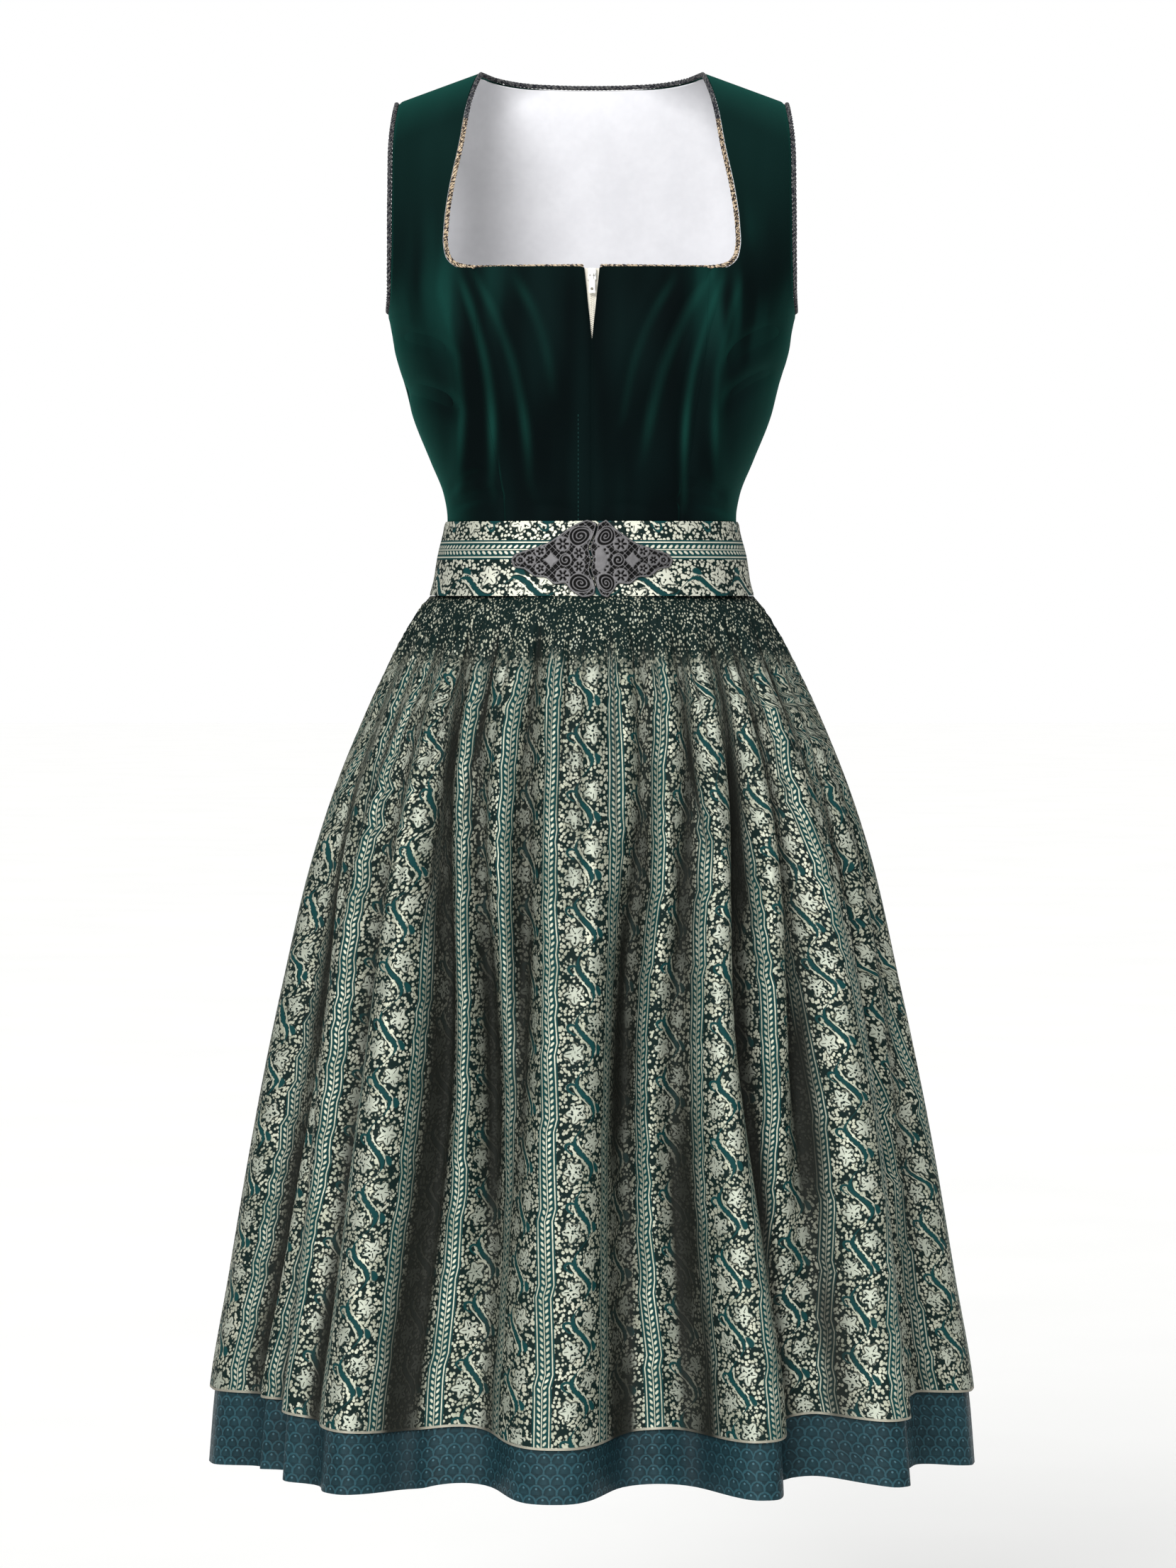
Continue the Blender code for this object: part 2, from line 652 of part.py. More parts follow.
def make_zip():
    """The tape with its raised coil, behind the gap of the centre front."""
    z = spread(ZIP_BOTTOM, NECK_FRONT_Z - 2 * SEAM_GAP, 8)
    coil, foot, middle = COIL_HALF, COIL_HALF + 0.4, ZIP_TAPE_HALF / 2
    x = np.array([-ZIP_TAPE_HALF, -middle, -foot, -coil, coil, foot, middle, ZIP_TAPE_HALF])
    raised = np.array([0.0, 0.0, 0.0, 1.0, 1.0, 0.0, 0.0, 0.0]) * COIL_RISE
    grid = torso_point(x[None, :], z[:, None], -1)
    normal = grid_normals(grid)
    base = grid - (VELVET + 2 * SEAM_GAP + COIL_RISE) * normal
    wall("zip_tape", base + raised[None, :, None] * normal, base - ZIP_TAPE * normal, "zip_cloth")


def front_slope():
    """How far the centre front leans from the vertical at the zip's head."""
    high = torso_point(0.0, SLIDER["top"], -1)
    low = torso_point(0.0, SLIDER["top"] - 25.0, -1)
    return math.atan2(high[1] - low[1], high[2] - low[2])


def slab(width, height, depth, bevel):
    """A box with its edges rounded, centred, as a bmesh in millimetres."""
    work = bmesh.new()
    bmesh.ops.create_cube(work, size=1.0)
    bmesh.ops.scale(work, vec=(width, depth, height), verts=work.verts)
    bmesh.ops.bevel(work, geom=list(work.edges), offset=bevel, segments=1, affect="EDGES")
    return work


def from_bmesh(name, work, place, lean, finish):
    """An object from a bmesh in millimetres, leant about X and moved to its place."""
    mesh = bpy.data.meshes.new(name)
    for vertex in work.verts:
        vertex.co *= MM
    bmesh.ops.recalc_face_normals(work, faces=work.faces)
    work.to_mesh(mesh)
    work.free()
    mesh.materials.append(material(finish))
    obj = bpy.data.objects.new(name, mesh)
    obj.location = Vector([value * MM for value in place])
    obj.rotation_euler.x = lean
    bpy.context.scene.collection.objects.link(obj)
    return obj


def pull_place():
    """The hinge's axis: in front of the slider's upper half."""
    lean = front_slope()
    depth = SLIDER["thick"] / 2 + PULL["bar"] + PULL["play"] + SLIDER["bar_clear"]
    middle = torso_point(0.0, SLIDER["top"] - SLIDER["long"] * 0.42, -1)
    lift = slider_lift() + depth
    return middle + lift * np.array([0.0, -math.cos(lean), -math.sin(lean)]), lean


def slider_lift():
    """How far the slider's middle lies outside the form: it rides on the coil."""
    return SLIDER["thick"] / 2 - VELVET


def make_slider():
    """The slider on the coil, with two cheeks that hold the pull's bar."""
    lean = front_slope()
    out = np.array([0.0, -math.cos(lean), -math.sin(lean)])
    body_at = torso_point(0.0, SLIDER["top"] - SLIDER["long"] / 2, -1) + slider_lift() * out
    body = from_bmesh("zip_slider", slab(SLIDER["wide"], SLIDER["long"], SLIDER["thick"],
                                         SLIDER["edge"]), body_at, -lean, "zip_metal")
    axis_at, _ = pull_place()
    cheeks = []
    reach = CHEEK["reach"]
    for sign in (-1, 1):
        at = axis_at - out * (reach / 2 - CHEEK["past"]) + np.array([sign * CHEEK["apart"], 0, 0])
        cheek = slab(CHEEK["wide"], CHEEK["long"], reach, CHEEK["edge"])
        cheeks.append(from_bmesh("cheek", cheek, at, -lean, "zip_metal"))
    bar = bmesh.new()
    bmesh.ops.create_cone(bar, cap_ends=True, segments=12, radius1=PULL["bar"],
                          radius2=PULL["bar"], depth=2 * CHEEK["apart"])
    bmesh.ops.rotate(bar, verts=bar.verts, matrix=turned_to_x())
    cheeks.append(from_bmesh("bar", bar, axis_at, -lean, "zip_metal"))
    for piece in cheeks:
        union = body.modifiers.new("join", "BOOLEAN")
        union.operation = "UNION"
        union.object = piece
        piece.hide_render = True
        piece.display_type = "WIRE"
    return body


def turned_to_x():
    """The turn that lays a cone's axis along X."""
    return Matrix.Rotation(math.pi / 2, 3, "Y")


def make_pull():
    """The pull: an eye on the slider's bar, a narrow neck and a plate with a round hole."""
    axis_at, lean = pull_place()
    eye = PULL["bar"] + PULL["play"]
    sides = 12
    turns = 2 * math.pi * np.arange(sides) / sides + math.pi / sides
    half = PULL["thick"] / 2
    rim = eye + PULL["rim"]
    work = bmesh.new()
    bmesh.ops.create_cone(work, cap_ends=True, segments=sides, radius1=rim, radius2=rim,
                          depth=PULL["neck"])
    bmesh.ops.rotate(work, verts=work.verts, matrix=turned_to_x())
    pull = from_bmesh("zip_pull", work, axis_at, -lean, "zip_metal")
    bore = bmesh.new()
    bmesh.ops.create_cone(bore, cap_ends=True, segments=sides, radius1=eye, radius2=eye,
                          depth=PULL["cut"])
    bmesh.ops.rotate(bore, verts=bore.verts, matrix=turned_to_x())
    neck_long = PULL["neck_long"]
    neck = slab(PULL["neck"], neck_long, 2 * half, 0.15)
    bmesh.ops.translate(neck, verts=neck.verts, vec=(0.0, 0.0, -eye - 0.3 - neck_long / 2))
    plate_long = PULL["long"] - PULL["plate_from"]
    plate = slab(PULL["wide"], plate_long, 2 * half, 0.4)
    low = -PULL["plate_from"] - plate_long / 2
    bmesh.ops.translate(plate, verts=plate.verts, vec=(0.0, 0.0, low))
    hole = bmesh.new()
    bmesh.ops.create_cone(hole, cap_ends=True, segments=16, radius1=PULL["hole"],
                          radius2=PULL["hole"], depth=PULL["cut"])
    bmesh.ops.rotate(hole, verts=hole.verts, matrix=Matrix.Rotation(math.pi / 2, 3, "X"))
    bmesh.ops.translate(hole, verts=hole.verts, vec=(0.0, 0.0, low - PULL["hole_low"]))
    steps = (("neck", neck, "UNION"), ("plate", plate, "UNION"), ("bore", bore, "DIFFERENCE"),
             ("hole", hole, "DIFFERENCE"))
    for label, shape, operation in steps:
        piece = from_bmesh(label, shape, axis_at, -lean, "zip_metal")
        piece.hide_render = True
        piece.display_type = "WIRE"
        cut = pull.modifiers.new(label, "BOOLEAN")
        cut.operation = operation
        cut.object = piece
    return pull


# The skirt's form.


def skirt_section(turn, z):
    """The plain skirt at an angle and a height: a point and the outward direction."""
    width = skirt("half_width", z)
    front = skirt("front", z)
    back = skirt("back", z)
    deep = np.where(np.cos(turn) > 0, front, back)
    power = 2 / SKIRT_ROUNDNESS
    sine, cosine = np.sin(turn), np.cos(turn)
    x = np.sign(sine) * np.abs(sine) ** power * width
    y = -np.sign(cosine) * np.abs(cosine) ** power * deep + curve(SKIRT_MIDDLE, z)
    out = np.stack([sine / width, -cosine / deep, np.zeros_like(x)], -1)
    out /= np.linalg.norm(out, axis=-1, keepdims=True)
    return np.stack([x, y, z], -1), out


def hem_waves(turn):
    """How far the hem's wide waves draw it in at an angle: nothing at a crest."""
    crests, deep = np.array(CRESTS).T
    crests = np.append(crests, crests[0] + 360.0)
    at = (np.degrees(turn) - crests[0]) % 360.0 + crests[0]
    k = np.clip(np.searchsorted(crests, at, side="right") - 1, 0, len(deep) - 1)
    t = (at - crests[k]) / (crests[k + 1] - crests[k])
    return deep[k] * (0.5 - 0.5 * np.cos(2 * math.pi * t)) ** CREST_ROUND


def fold_depth(turn, z):
    """How far the folds draw the skirt in at an angle and a height."""
    down = smooth(WAVE_START, DRESS_HEM, z)
    depth = down * hem_waves(turn)
    width, _ = skirt_section(np.full_like(z, math.pi / 2), z)
    girth = width[..., 0]
    levels = np.array(FOLD_LEVELS)
    begin = smooth(FOLD_START, FOLD_LEVELS[0], z)
    at = np.clip(z, levels[-1], levels[0])
    for row in FOLDS:
        fold = dict(zip(FOLD_COLUMNS, row))
        middle = curve(list(zip(levels, (fold["top"], fold["mid"], fold["hem"]))), at)
        deep = curve(list(zip(levels, (fold["deep_top"], fold["deep_mid"], fold["deep_hem"]))), at)
        away = (np.degrees(turn) - middle + 180.0) % 360.0 - 180.0
        away = np.radians(away) * girth
        wide = fold["wide"] * np.interp(girth, (150.0, 240.0, 300.0), (0.62, 1.0, 1.25))
        depth = depth + begin * deep * np.exp(-0.5 * (away / wide) ** 2)
    return depth


def skirt_points(turn, z):
    """The folded skirt, which the apron and the dress's own skirt both follow."""
    turn, z = np.broadcast_arrays(np.asarray(turn, float), np.asarray(z, float))
    point, out = skirt_section(turn, z)
    return point - fold_depth(turn, z)[..., None] * out


def skirt_normals(turn, z):
    step, drop = 0.004, 1.0
    across = skirt_points(turn + step, z) - skirt_points(turn - step, z)
    down = skirt_points(turn, z + drop) - skirt_points(turn, z - drop)
    normal = np.cross(across, down)
    return normal / np.linalg.norm(normal, axis=-1, keepdims=True)


def apron_half(z):
    """Half of the angle that the apron spans at a height, in radians."""
    return np.radians(curve(APRON_SPREAD, z))


def apron_hem(turn):
    side = smooth(0.0, math.radians(95.0), np.abs(turn))
    rise = WAVE_HEM_RISE * hem_waves(turn) - HEM_DROP
    return APRON_HEM_FRONT + (APRON_HEM_SIDE - APRON_HEM_FRONT) * side + rise


def dress_hem(turn):
    return DRESS_HEM + WAVE_HEM_RISE * hem_waves(turn)


BAND_COLUMNS = 61
BAND_SLIT = 0.003
BAND_ROWS = 4
APRON_COLUMNS = 71
BEHIND_COLUMNS = 30
FOLD_ROWS = (-500.0, -570.0, -670.0, -800.0, -930.0)


def level_out(ring, z):
    """The level direction out from the torso's middle, for points of one ring of it."""
    flat = ring - np.array([0.0, torso("middle", z), 0.0])
    flat[:, 2] = 0.0
    return flat / np.linalg.norm(flat, axis=1, keepdims=True)


def make_dress_skirt():
    """The dress's skirt: a tube from the waist seam, under the apron and round the back."""
    share = spread(-1.0, 1.0, APRON_COLUMNS)
    behind = spread(0.0, 1.0, BEHIND_COLUMNS + 2)[1:-1]
    covered = np.concatenate([np.ones(APRON_COLUMNS), np.zeros(BEHIND_COLUMNS)])
    covered[[APRON_COLUMNS, -1]] = 0.75

    def turns_at(z):
        half = float(apron_half(z))
        return np.concatenate([share * half, half + behind * (2 * math.pi - 2 * half)])

    ring = torso_turn(turns_at(BAND_BOTTOM), WAIST_Z - SEAM_GAP)
    outer = [ring]
    inner = [ring - SKIRT * level_out(ring, WAIST_Z)]
    levels = [(z, None) for z in (BAND_BOTTOM, SMOCKED_TO, *FOLD_ROWS)]
    for z, hem in (*levels, (APRON_HEM_FRONT, apron_hem), (DRESS_HEM, dress_hem)):
        turn = turns_at(z)
        height = np.full(len(turn), z) if hem is None else hem(turn)
        normal = skirt_normals(turn, height)
        under = covered if z != BAND_BOTTOM else np.ones(len(turn))
        row = skirt_points(turn, height) - (APRON + APRON_TO_DRESS) * under[:, None] * normal
        outer.append(row)
        inner.append(row - SKIRT * normal)
    wall("dress_skirt", np.array(outer), np.array(inner), "skirt_cloth", closed=True)


def make_apron_band():
    """The band: a strip all round the waist whose ends meet at the centre back."""
    turn = spread(-math.pi + BAND_SLIT, math.pi - BAND_SLIT, BAND_COLUMNS)
    rows_out, rows_in = [], []
    for z in spread(BAND_BOTTOM, BAND_TOP, BAND_ROWS):
        ring = torso_turn(turn, z)
        out = level_out(ring, z)
        rows_out.append(ring + BAND_LIFT * out)
        rows_in.append(ring + (BAND_LIFT - BAND) * out)
    wall("apron_waistband", np.array(rows_out), np.array(rows_in), "apron_cloth")


def apron_row(z, columns, hem=False):
    """One row of the apron: its points and normals at a height, or at its hem."""
    share = spread(-1.0, 1.0, columns)
    turn = share * float(apron_half(z))
    height = apron_hem(turn) if hem else np.full(columns, z)
    normal = skirt_normals(turn, height)
    if z > BAND_BOTTOM - 1.0:
        normal[:, 2] = 0.0
        normal /= np.linalg.norm(normal, axis=1, keepdims=True)
    return skirt_points(turn, height), normal, share


def make_apron_skirt():
    """The apron: finely gathered points under the band, then a folded sheet to the hem."""
    fine = 2 * GATHERS + 1
    points, outer_rows, inner_rows = [], [], []

    def keep(row, share):
        start = sum(len(p) for p in points)
        points.append(row)
        return list(range(start, start + len(row))), share

    for z in (BAND_BOTTOM - SEAM_GAP, -424.0, SMOCKED_TO):
        row, normal, share = apron_row(z, fine)
        strength = smooth(BAND_BOTTOM + 3.0, BAND_BOTTOM - 12.0, z)
        raised = GATHER_OUT * strength * (np.arange(fine) % 2)
        outer_rows.append(keep(row + raised[:, None] * normal, share))
    for z in (BAND_BOTTOM - SEAM_GAP, -424.0, SMOCKED_TO):
        row, normal, share = apron_row(z, APRON_COLUMNS)
        inner_rows.append(keep(row - APRON * normal, share))
    for z in (*FOLD_ROWS, None):
        row, normal, share = apron_row(APRON_HEM_FRONT if z is None else z, APRON_COLUMNS, z is None)
        outer_rows.append(keep(row, share))
        inner_rows.append(keep(row - APRON * normal, share))
    faces = []
    for rows in (outer_rows, inner_rows):
        for (upper, upper_at), (lower, lower_at) in zip(rows, rows[1:]):
            faces += stitch(upper, lower, upper_at, lower_at)
    for which in (0, -1):
        faces += stitch(outer_rows[which][0], inner_rows[which][0],
                        outer_rows[which][1], inner_rows[which][1])
    for end in (0, -1):
        outer_edge = [row[0][end] for row in outer_rows]
        inner_edge = [row[0][end] for row in inner_rows]
        every = np.concatenate(points)
        faces += stitch(outer_edge, inner_edge, -every[outer_edge, 2], -every[inner_edge, 2])
    add_object("apron_skirt", np.concatenate(points), faces, "apron_cloth")


# The clasp.


def rounded_line(points, per_span=2):
    """A soft line through hand placed points."""
    points = np.array(points, float)
    at = np.arange(len(points))
    fine = np.linspace(0, len(points) - 1, per_span * (len(points) - 1) + 1)
    slope = np.gradient(points, axis=0)
    k = np.minimum(fine.astype(int), len(points) - 2)
    t = (fine - at[k])[:, None]
    a, b = points[k], points[k + 1]
    ease = t * t * (3 - 2 * t)
    bend = t * (1 - t) * ((1 - t) * slope[k] - t * slope[k + 1])
    return a + ease * (b - a) + 0.6 * bend


def clasp_seam(z):
    """The wavy line where the two halves meet."""
    return 3.0 * np.sin(z / 31.0 * math.pi)


def inside_outline(point, outline):
    """Whether a point lies inside a closed outline, by counting the edges it is left of."""
    x, z = point
    a, b = outline, np.roll(outline, -1, axis=0)
    spans = (a[:, 1] > z) != (b[:, 1] > z)
    drop = np.where(spans, b[:, 1] - a[:, 1], 1.0)
    cross = a[:, 0] + (z - a[:, 1]) * (b[:, 0] - a[:, 0]) / drop
    return bool((spans & (x < cross)).sum() % 2)


def clasp_outline(side):
    """One half's closed outline; side is -1 for the wearer's right half."""
    upper = rounded_line(CLASP_TOP)
    lower = rounded_line(((-61.0, 0.0), *CLASP_BOTTOM))
    seam_z = spread(upper[-1, 1], lower[-1, 1], 8)[1:-1]
    if side > 0:
        upper = upper * np.array([-1.0, 1.0])
        lower = lower * np.array([-1.0, 1.0])
    seam = np.stack([clasp_seam(seam_z) + side * CLASP_GAP / 2, seam_z], -1)
    upper[-1, 0] = clasp_seam(upper[-1, 1]) + side * CLASP_GAP / 2
    lower[-1, 0] = clasp_seam(lower[-1, 1]) + side * CLASP_GAP / 2
    return np.concatenate([upper, seam, lower[:0:-1]])


def clasp_surface(x, z, out):
    """A point over the band's face, a distance outside it."""
    z = z + CLASP_Z
    step = 0.5

    def band(x, z):
        return torso_point(x, z, -1)

    here = band(x, z)
    normal = np.cross(band(x + step, z) - band(x - step, z), band(x, z + step) - band(x, z - step))
    normal /= np.linalg.norm(normal, axis=-1, keepdims=True)
    return here + (BAND_LIFT + 2 * SEAM_GAP + out) * normal


def make_clasp(name, side):
    outline = clasp_outline(side)
    loops = [outline]
    for row in CLASP_HOLES:
        hole = dict(zip(CLASP_HOLE_COLUMNS, row))
        turns = 2 * math.pi * np.arange(8) / 8 + 0.2
        ring = np.stack([hole["x"] + hole["radius"] * np.cos(turns),
                         hole["z"] + hole["radius"] * np.sin(turns)], -1)
        loops.append(ring * np.array([-side, 1.0]))
    flat, edges = [], []
    for loop in loops:
        start = len(flat)
        flat += loop.tolist()
        edges += [(start + k, start + (k + 1) % len(loop)) for k in range(len(loop))]
    for x in np.arange(-60.0, 60.1, CLASP_GRID):
        for z in np.arange(-30.0, 30.1, CLASP_GRID):
            clear = min(np.hypot(loop[:, 0] - x, loop[:, 1] - z).min() for loop in loops)
            if clear > 1.6 and inside_outline((x, z), outline):
                flat.append([x, z])
    points, edges, triangles, *_ = delaunay_2d_cdt([Vector(p) for p in flat], edges, [], 1, 1e-5)
    plane = np.array([(p.x, p.y) for p in points])
    kept = []
    for triangle in triangles:
        centre = plane[list(triangle)].mean(0)
        if not inside_outline(centre, outline):
            continue
        if any(inside_outline(centre, loop) for loop in loops[1:]):
            continue
        kept.append(tuple(triangle))
    count = len(plane)
    front = clasp_surface(plane[:, 0], plane[:, 1], CLASP_THICK)
    rear = clasp_surface(plane[:, 0], plane[:, 1], 0.0)
    faces = list(kept) + [tuple(count + index for index in reversed(face)) for face in kept]
    sides = {}
    for face in kept:
        for k in range(3):
            a, b = face[k], face[(k + 1) % 3]
            if (b, a) in sides:
                del sides[(b, a)]
            else:
                sides[(a, b)] = True
    faces += [(b, a, count + a, count + b) for a, b in sides]
    return add_object(name, np.concatenate([front, rear]), faces, "pewter")


def main():
    empty_scene()
    front, back = front_half(), whole_back()
    make_bodice(front, back)
    make_neck_trim(front, back)
    make_armhole_trims(front, back)
    make_zip()
    make_slider()
    make_pull()
    make_dress_skirt()
    make_apron_band()
    make_apron_skirt()
    make_clasp("clasp_right", -1)
    make_clasp("clasp_left", 1)


main()
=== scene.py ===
# %% [markdown]
# # A worn folk dress and its apron
# The real set is a sleeveless velvet bodice sewn to a long gathered skirt, with a jacquard
# apron tied over it. Nobody wears it here, but it keeps the round form that a body gives it.
# Every sheet of cloth below is a grid of points on one smooth form, and the folds are added
# to that form as soft troughs, so all the layers share the same folds and never cross.

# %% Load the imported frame
import math

import bpy
import numpy as np
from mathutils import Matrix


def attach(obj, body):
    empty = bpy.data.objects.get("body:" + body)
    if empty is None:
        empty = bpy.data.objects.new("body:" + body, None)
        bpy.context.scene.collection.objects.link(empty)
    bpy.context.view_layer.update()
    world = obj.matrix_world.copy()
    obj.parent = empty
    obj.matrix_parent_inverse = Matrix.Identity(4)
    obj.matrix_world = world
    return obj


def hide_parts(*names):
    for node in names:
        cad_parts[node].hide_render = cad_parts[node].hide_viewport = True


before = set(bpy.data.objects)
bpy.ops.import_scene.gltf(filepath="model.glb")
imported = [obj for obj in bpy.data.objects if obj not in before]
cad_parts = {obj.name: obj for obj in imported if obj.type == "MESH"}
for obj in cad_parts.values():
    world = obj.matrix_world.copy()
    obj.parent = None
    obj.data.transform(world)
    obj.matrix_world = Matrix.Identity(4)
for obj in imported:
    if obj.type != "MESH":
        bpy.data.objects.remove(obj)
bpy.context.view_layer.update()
MM = 0.001

# %% [markdown]
# ## The sizes
# A maker would note a few girths and depths at set heights. The tables give them in
# millimetres, with Z = 0 at the neck points of the shoulders, and a smooth line through
# each column gives every height between.

# %% The torso, in millimetres
TORSO_COLUMNS = ("z", "half_width", "front", "back", "middle")
TORSO = (
    (-430.0, 141.0, 115.0, 104.0, 5.0),
    (-407.5, 125.5, 102.5, 91.5, 5.0),
    (-375.0, 118.4, 96.5, 85.0, 5.0),
    (-350.0, 113.0, 92.0, 80.0, 5.0),
    (-328.0, 116.0, 93.0, 80.0, 5.0),
    (-303.0, 126.0, 96.0, 82.0, 4.0),
    (-266.0, 140.5, 101.0, 86.0, 3.0),
    (-248.0, 145.0, 104.0, 88.0, 3.0),
    (-217.0, 154.0, 107.0, 91.0, 2.0),
    (-190.0, 159.0, 107.0, 94.0, 2.0),
    (-155.0, 176.0, 102.0, 92.0, 3.0),
    (-100.0, 186.0, 90.0, 84.0, 6.0),
    (-60.0, 184.0, 82.0, 74.0, 8.0),
    (-24.0, 178.0, 74.0, 64.0, 10.0),
    (60.0, 172.0, 66.0, 54.0, 10.0),
)
ROUNDNESS = 2.5
BUST = {"x": 74.0, "z": -205.0, "out": 9.0, "wide": 36.0, "high": 42.0}
NECK_POINT_X = 89.0
SHOULDER_TIP_X = 150.5
SHOULDER_SLOPE = math.tan(math.radians(20.0))
NECK_SLOPE = 0.6
SHOULDER_ROUND = 40.0
NECK_FRONT_Z = -155.5
NECK_CORNER_X = 104.0
NECK_BACK_Z = -8.0
NECK_SIDE = (
    (-155.5, 104.0), (-153.0, 108.0), (-149.0, 111.5), (-141.0, 114.0),
    (-122.0, 114.0), (-95.0, 110.5), (-60.0, 103.0), (-20.0, 95.5), (0.0, 89.0),
)
ARMHOLE_BOTTOM = -190.0
ARMHOLE = (
    (-190.0, 159.0), (-178.0, 157.0), (-155.0, 155.8), (-100.0, 155.0), (-45.0, 153.5),
    (-22.3, 150.5),
)
FRONT_SEAM = (
    (-376.0, 68.0), (-335.0, 69.0), (-288.0, 77.5), (-231.0, 87.0), (-175.0, 90.0),
    (-155.5, 91.0),
)
BACK_SEAM = (
    (-376.0, 40.0), (-335.0, 42.0), (-260.0, 52.0), (-190.0, 60.0), (-100.0, 67.0),
    (0.0, 70.0),
)
WAIST_Z = -375.0
ZIP_GAP = ((-376.0, -0.1), (-214.0, -0.1), (-155.5, 5.9))
ZIP_BOTTOM = -216.0
ZIP_TAPE_HALF = 11.0

# %% The skirt, in millimetres
SKIRT_COLUMNS = ("z", "half_width", "front", "back")
SKIRT_SECTIONS = (
    (-1085.0, 306.0, 252.0, 262.0),
    (-1020.0, 300.0, 247.0, 256.0),
    (-940.0, 286.0, 236.0, 244.0),
    (-829.0, 267.0, 219.0, 228.0),
    (-715.0, 244.0, 200.0, 208.0),
    (-610.0, 219.0, 180.0, 187.0),
    (-527.0, 190.0, 156.0, 163.0),
    (-490.0, 173.5, 143.0, 150.0),
    (-463.0, 159.5, 131.0, 138.0),
    (-432.0, 143.0, 117.0, 110.0),
    (-407.5, 126.8, 103.8, 93.0),
)
SKIRT_MIDDLE = ((-1085.0, 0.0), (-600.0, 0.0), (-407.5, 5.0))
SKIRT_ROUNDNESS = 2.1
BAND_TOP = -350.0
BAND_BOTTOM = -407.5
BAND_LIFT = 2.2
SMOCKED_TO = -453.0
GATHERS = 84
GATHER_OUT = 1.5
DRESS_HEM = -1084.5
APRON_HEM_FRONT = -1040.0
APRON_HEM_SIDE = -1022.0
APRON_SPREAD = (
    (-1045.0, 123.0), (-1000.0, 122.0), (-780.0, 119.0), (-620.0, 114.0), (-520.0, 104.0),
    (-460.0, 93.0), (-405.0, 83.0),
)
SEAM_GAP = 0.3
VELVET, LINING, SKIRT, APRON, BAND = 2.0, 1.0, 1.2, 1.2, 1.5
TRIM_RADIUS = 2.0
APRON_TO_DRESS = 3.2

# %% [markdown]
# The hem swings in wide waves, and narrower folds run down from the gathers. The first
# table gives each wave's crest as an angle from the centre front and how deep the hollow
# after it is. The second gives each fold's valley at three heights, with its depths there.
# The depths are then scaled at each height, most at the middle one, because the cloth
# that lies open at the hem has to go into the folds above it.

# %% The waves of the hem and the folds
CRESTS = (
    (-158.0, 40.0), (-125.0, 38.0), (-91.0, 20.0), (-36.0, 42.0), (-5.0, 44.0), (25.0, 42.0),
    (52.0, 30.0), (84.0, 38.0), (112.0, 42.0), (142.0, 40.0), (171.0, 42.0),
)
WAVE_START = -560.0
WAVE_HEM_RISE = 0.19
HEM_DROP = 4.0
CREST_ROUND = 1.4
FOLD_COLUMNS = ("top", "mid", "hem", "deep_top", "deep_mid", "deep_hem", "wide")
FOLDS = (
    (-72.0, -74.0, -73.0, 4.0, 12.0, 14.0, 13.0),
    (-61.0, -66.0, -62.0, 5.0, 16.0, 15.0, 13.0),
    (-51.0, -49.0, -47.5, 7.0, 15.0, 13.0, 12.0),
    (-39.5, -30.5, -30.5, 9.0, 21.0, 22.0, 13.0),
    (-30.0, -20.5, -16.0, 8.0, 17.0, 9.0, 11.0),
    (-15.0, -12.5, -13.0, 9.0, 15.0, 0.0, 10.0),
    (-4.5, -3.0, -3.0, 5.0, 3.0, 0.0, 8.0),
    (4.5, 3.5, 4.0, 5.0, 2.0, 0.0, 8.0),
    (14.5, 6.5, 4.4, 9.0, 19.0, 17.0, 11.0),
    (26.0, 16.5, 16.5, 9.0, 14.0, 19.0, 12.0),
    (39.0, 30.5, 33.5, 9.0, 21.0, 19.0, 12.0),
    (48.5, 45.0, 43.5, 8.0, 17.0, 9.0, 12.0),
    (62.0, 67.0, 60.0, 6.0, 16.0, 17.0, 13.0),
    (77.0, 79.0, 72.0, 4.0, 7.0, 6.0, 12.0),
    (102.0, 102.0, 99.0, 5.0, 14.0, 18.0, 13.0),
    (118.0, 120.0, 124.0, 6.0, 15.0, 16.0, 13.0),
    (135.0, 134.0, 131.0, 6.0, 17.0, 19.0, 13.0),
    (152.0, 150.0, 155.0, 6.0, 15.0, 17.0, 13.0),
    (167.0, 165.0, 163.0, 6.0, 18.0, 16.0, 13.0),
    (184.0, 182.0, 180.0, 6.0, 16.0, 18.0, 13.0),
    (203.0, 199.0, 197.0, 6.0, 19.0, 17.0, 13.0),
    (219.0, 216.0, 219.0, 6.0, 15.0, 18.0, 13.0),
    (236.0, 234.0, 233.0, 5.0, 17.0, 15.0, 13.0),
    (253.0, 250.0, 254.0, 5.0, 14.0, 18.0, 13.0),
)
FOLD_LEVELS = (-463.0, -715.0, -1000.0)
FOLD_START = -415.0
FOLD_MORE = (1.4, 2.0, 1.4)
WAVE_FULL = -960.0
HELD_EVERY = 3


# %% [markdown]
# ## Lines through tables, and soft steps
# A curve with the table's own slopes passes through every row without overshooting much.
# Uneven things, such as gathers, use a few sine waves whose lengths share no multiple, so
# the result is irregular but the same on each run.

# %% Helpers for numbers
def curve(table, z, column=1):
    """The cubic line through one column of a table: its value and slope match each row."""
    rows = np.array(sorted(table), float)
    at, value = rows[:, 0], rows[:, column]
    slope = np.gradient(value, at)
    z = np.clip(np.asarray(z, float), at[0], at[-1])
    k = np.clip(np.searchsorted(at, z, side="right") - 1, 0, len(at) - 2)
    step = at[k + 1] - at[k]
    t = (z - at[k]) / step
    blend = t * t * (3 - 2 * t)
    bend = t * (1 - t) * ((1 - t) * slope[k] - t * slope[k + 1]) * step
    return value[k] + blend * (value[k + 1] - value[k]) + bend


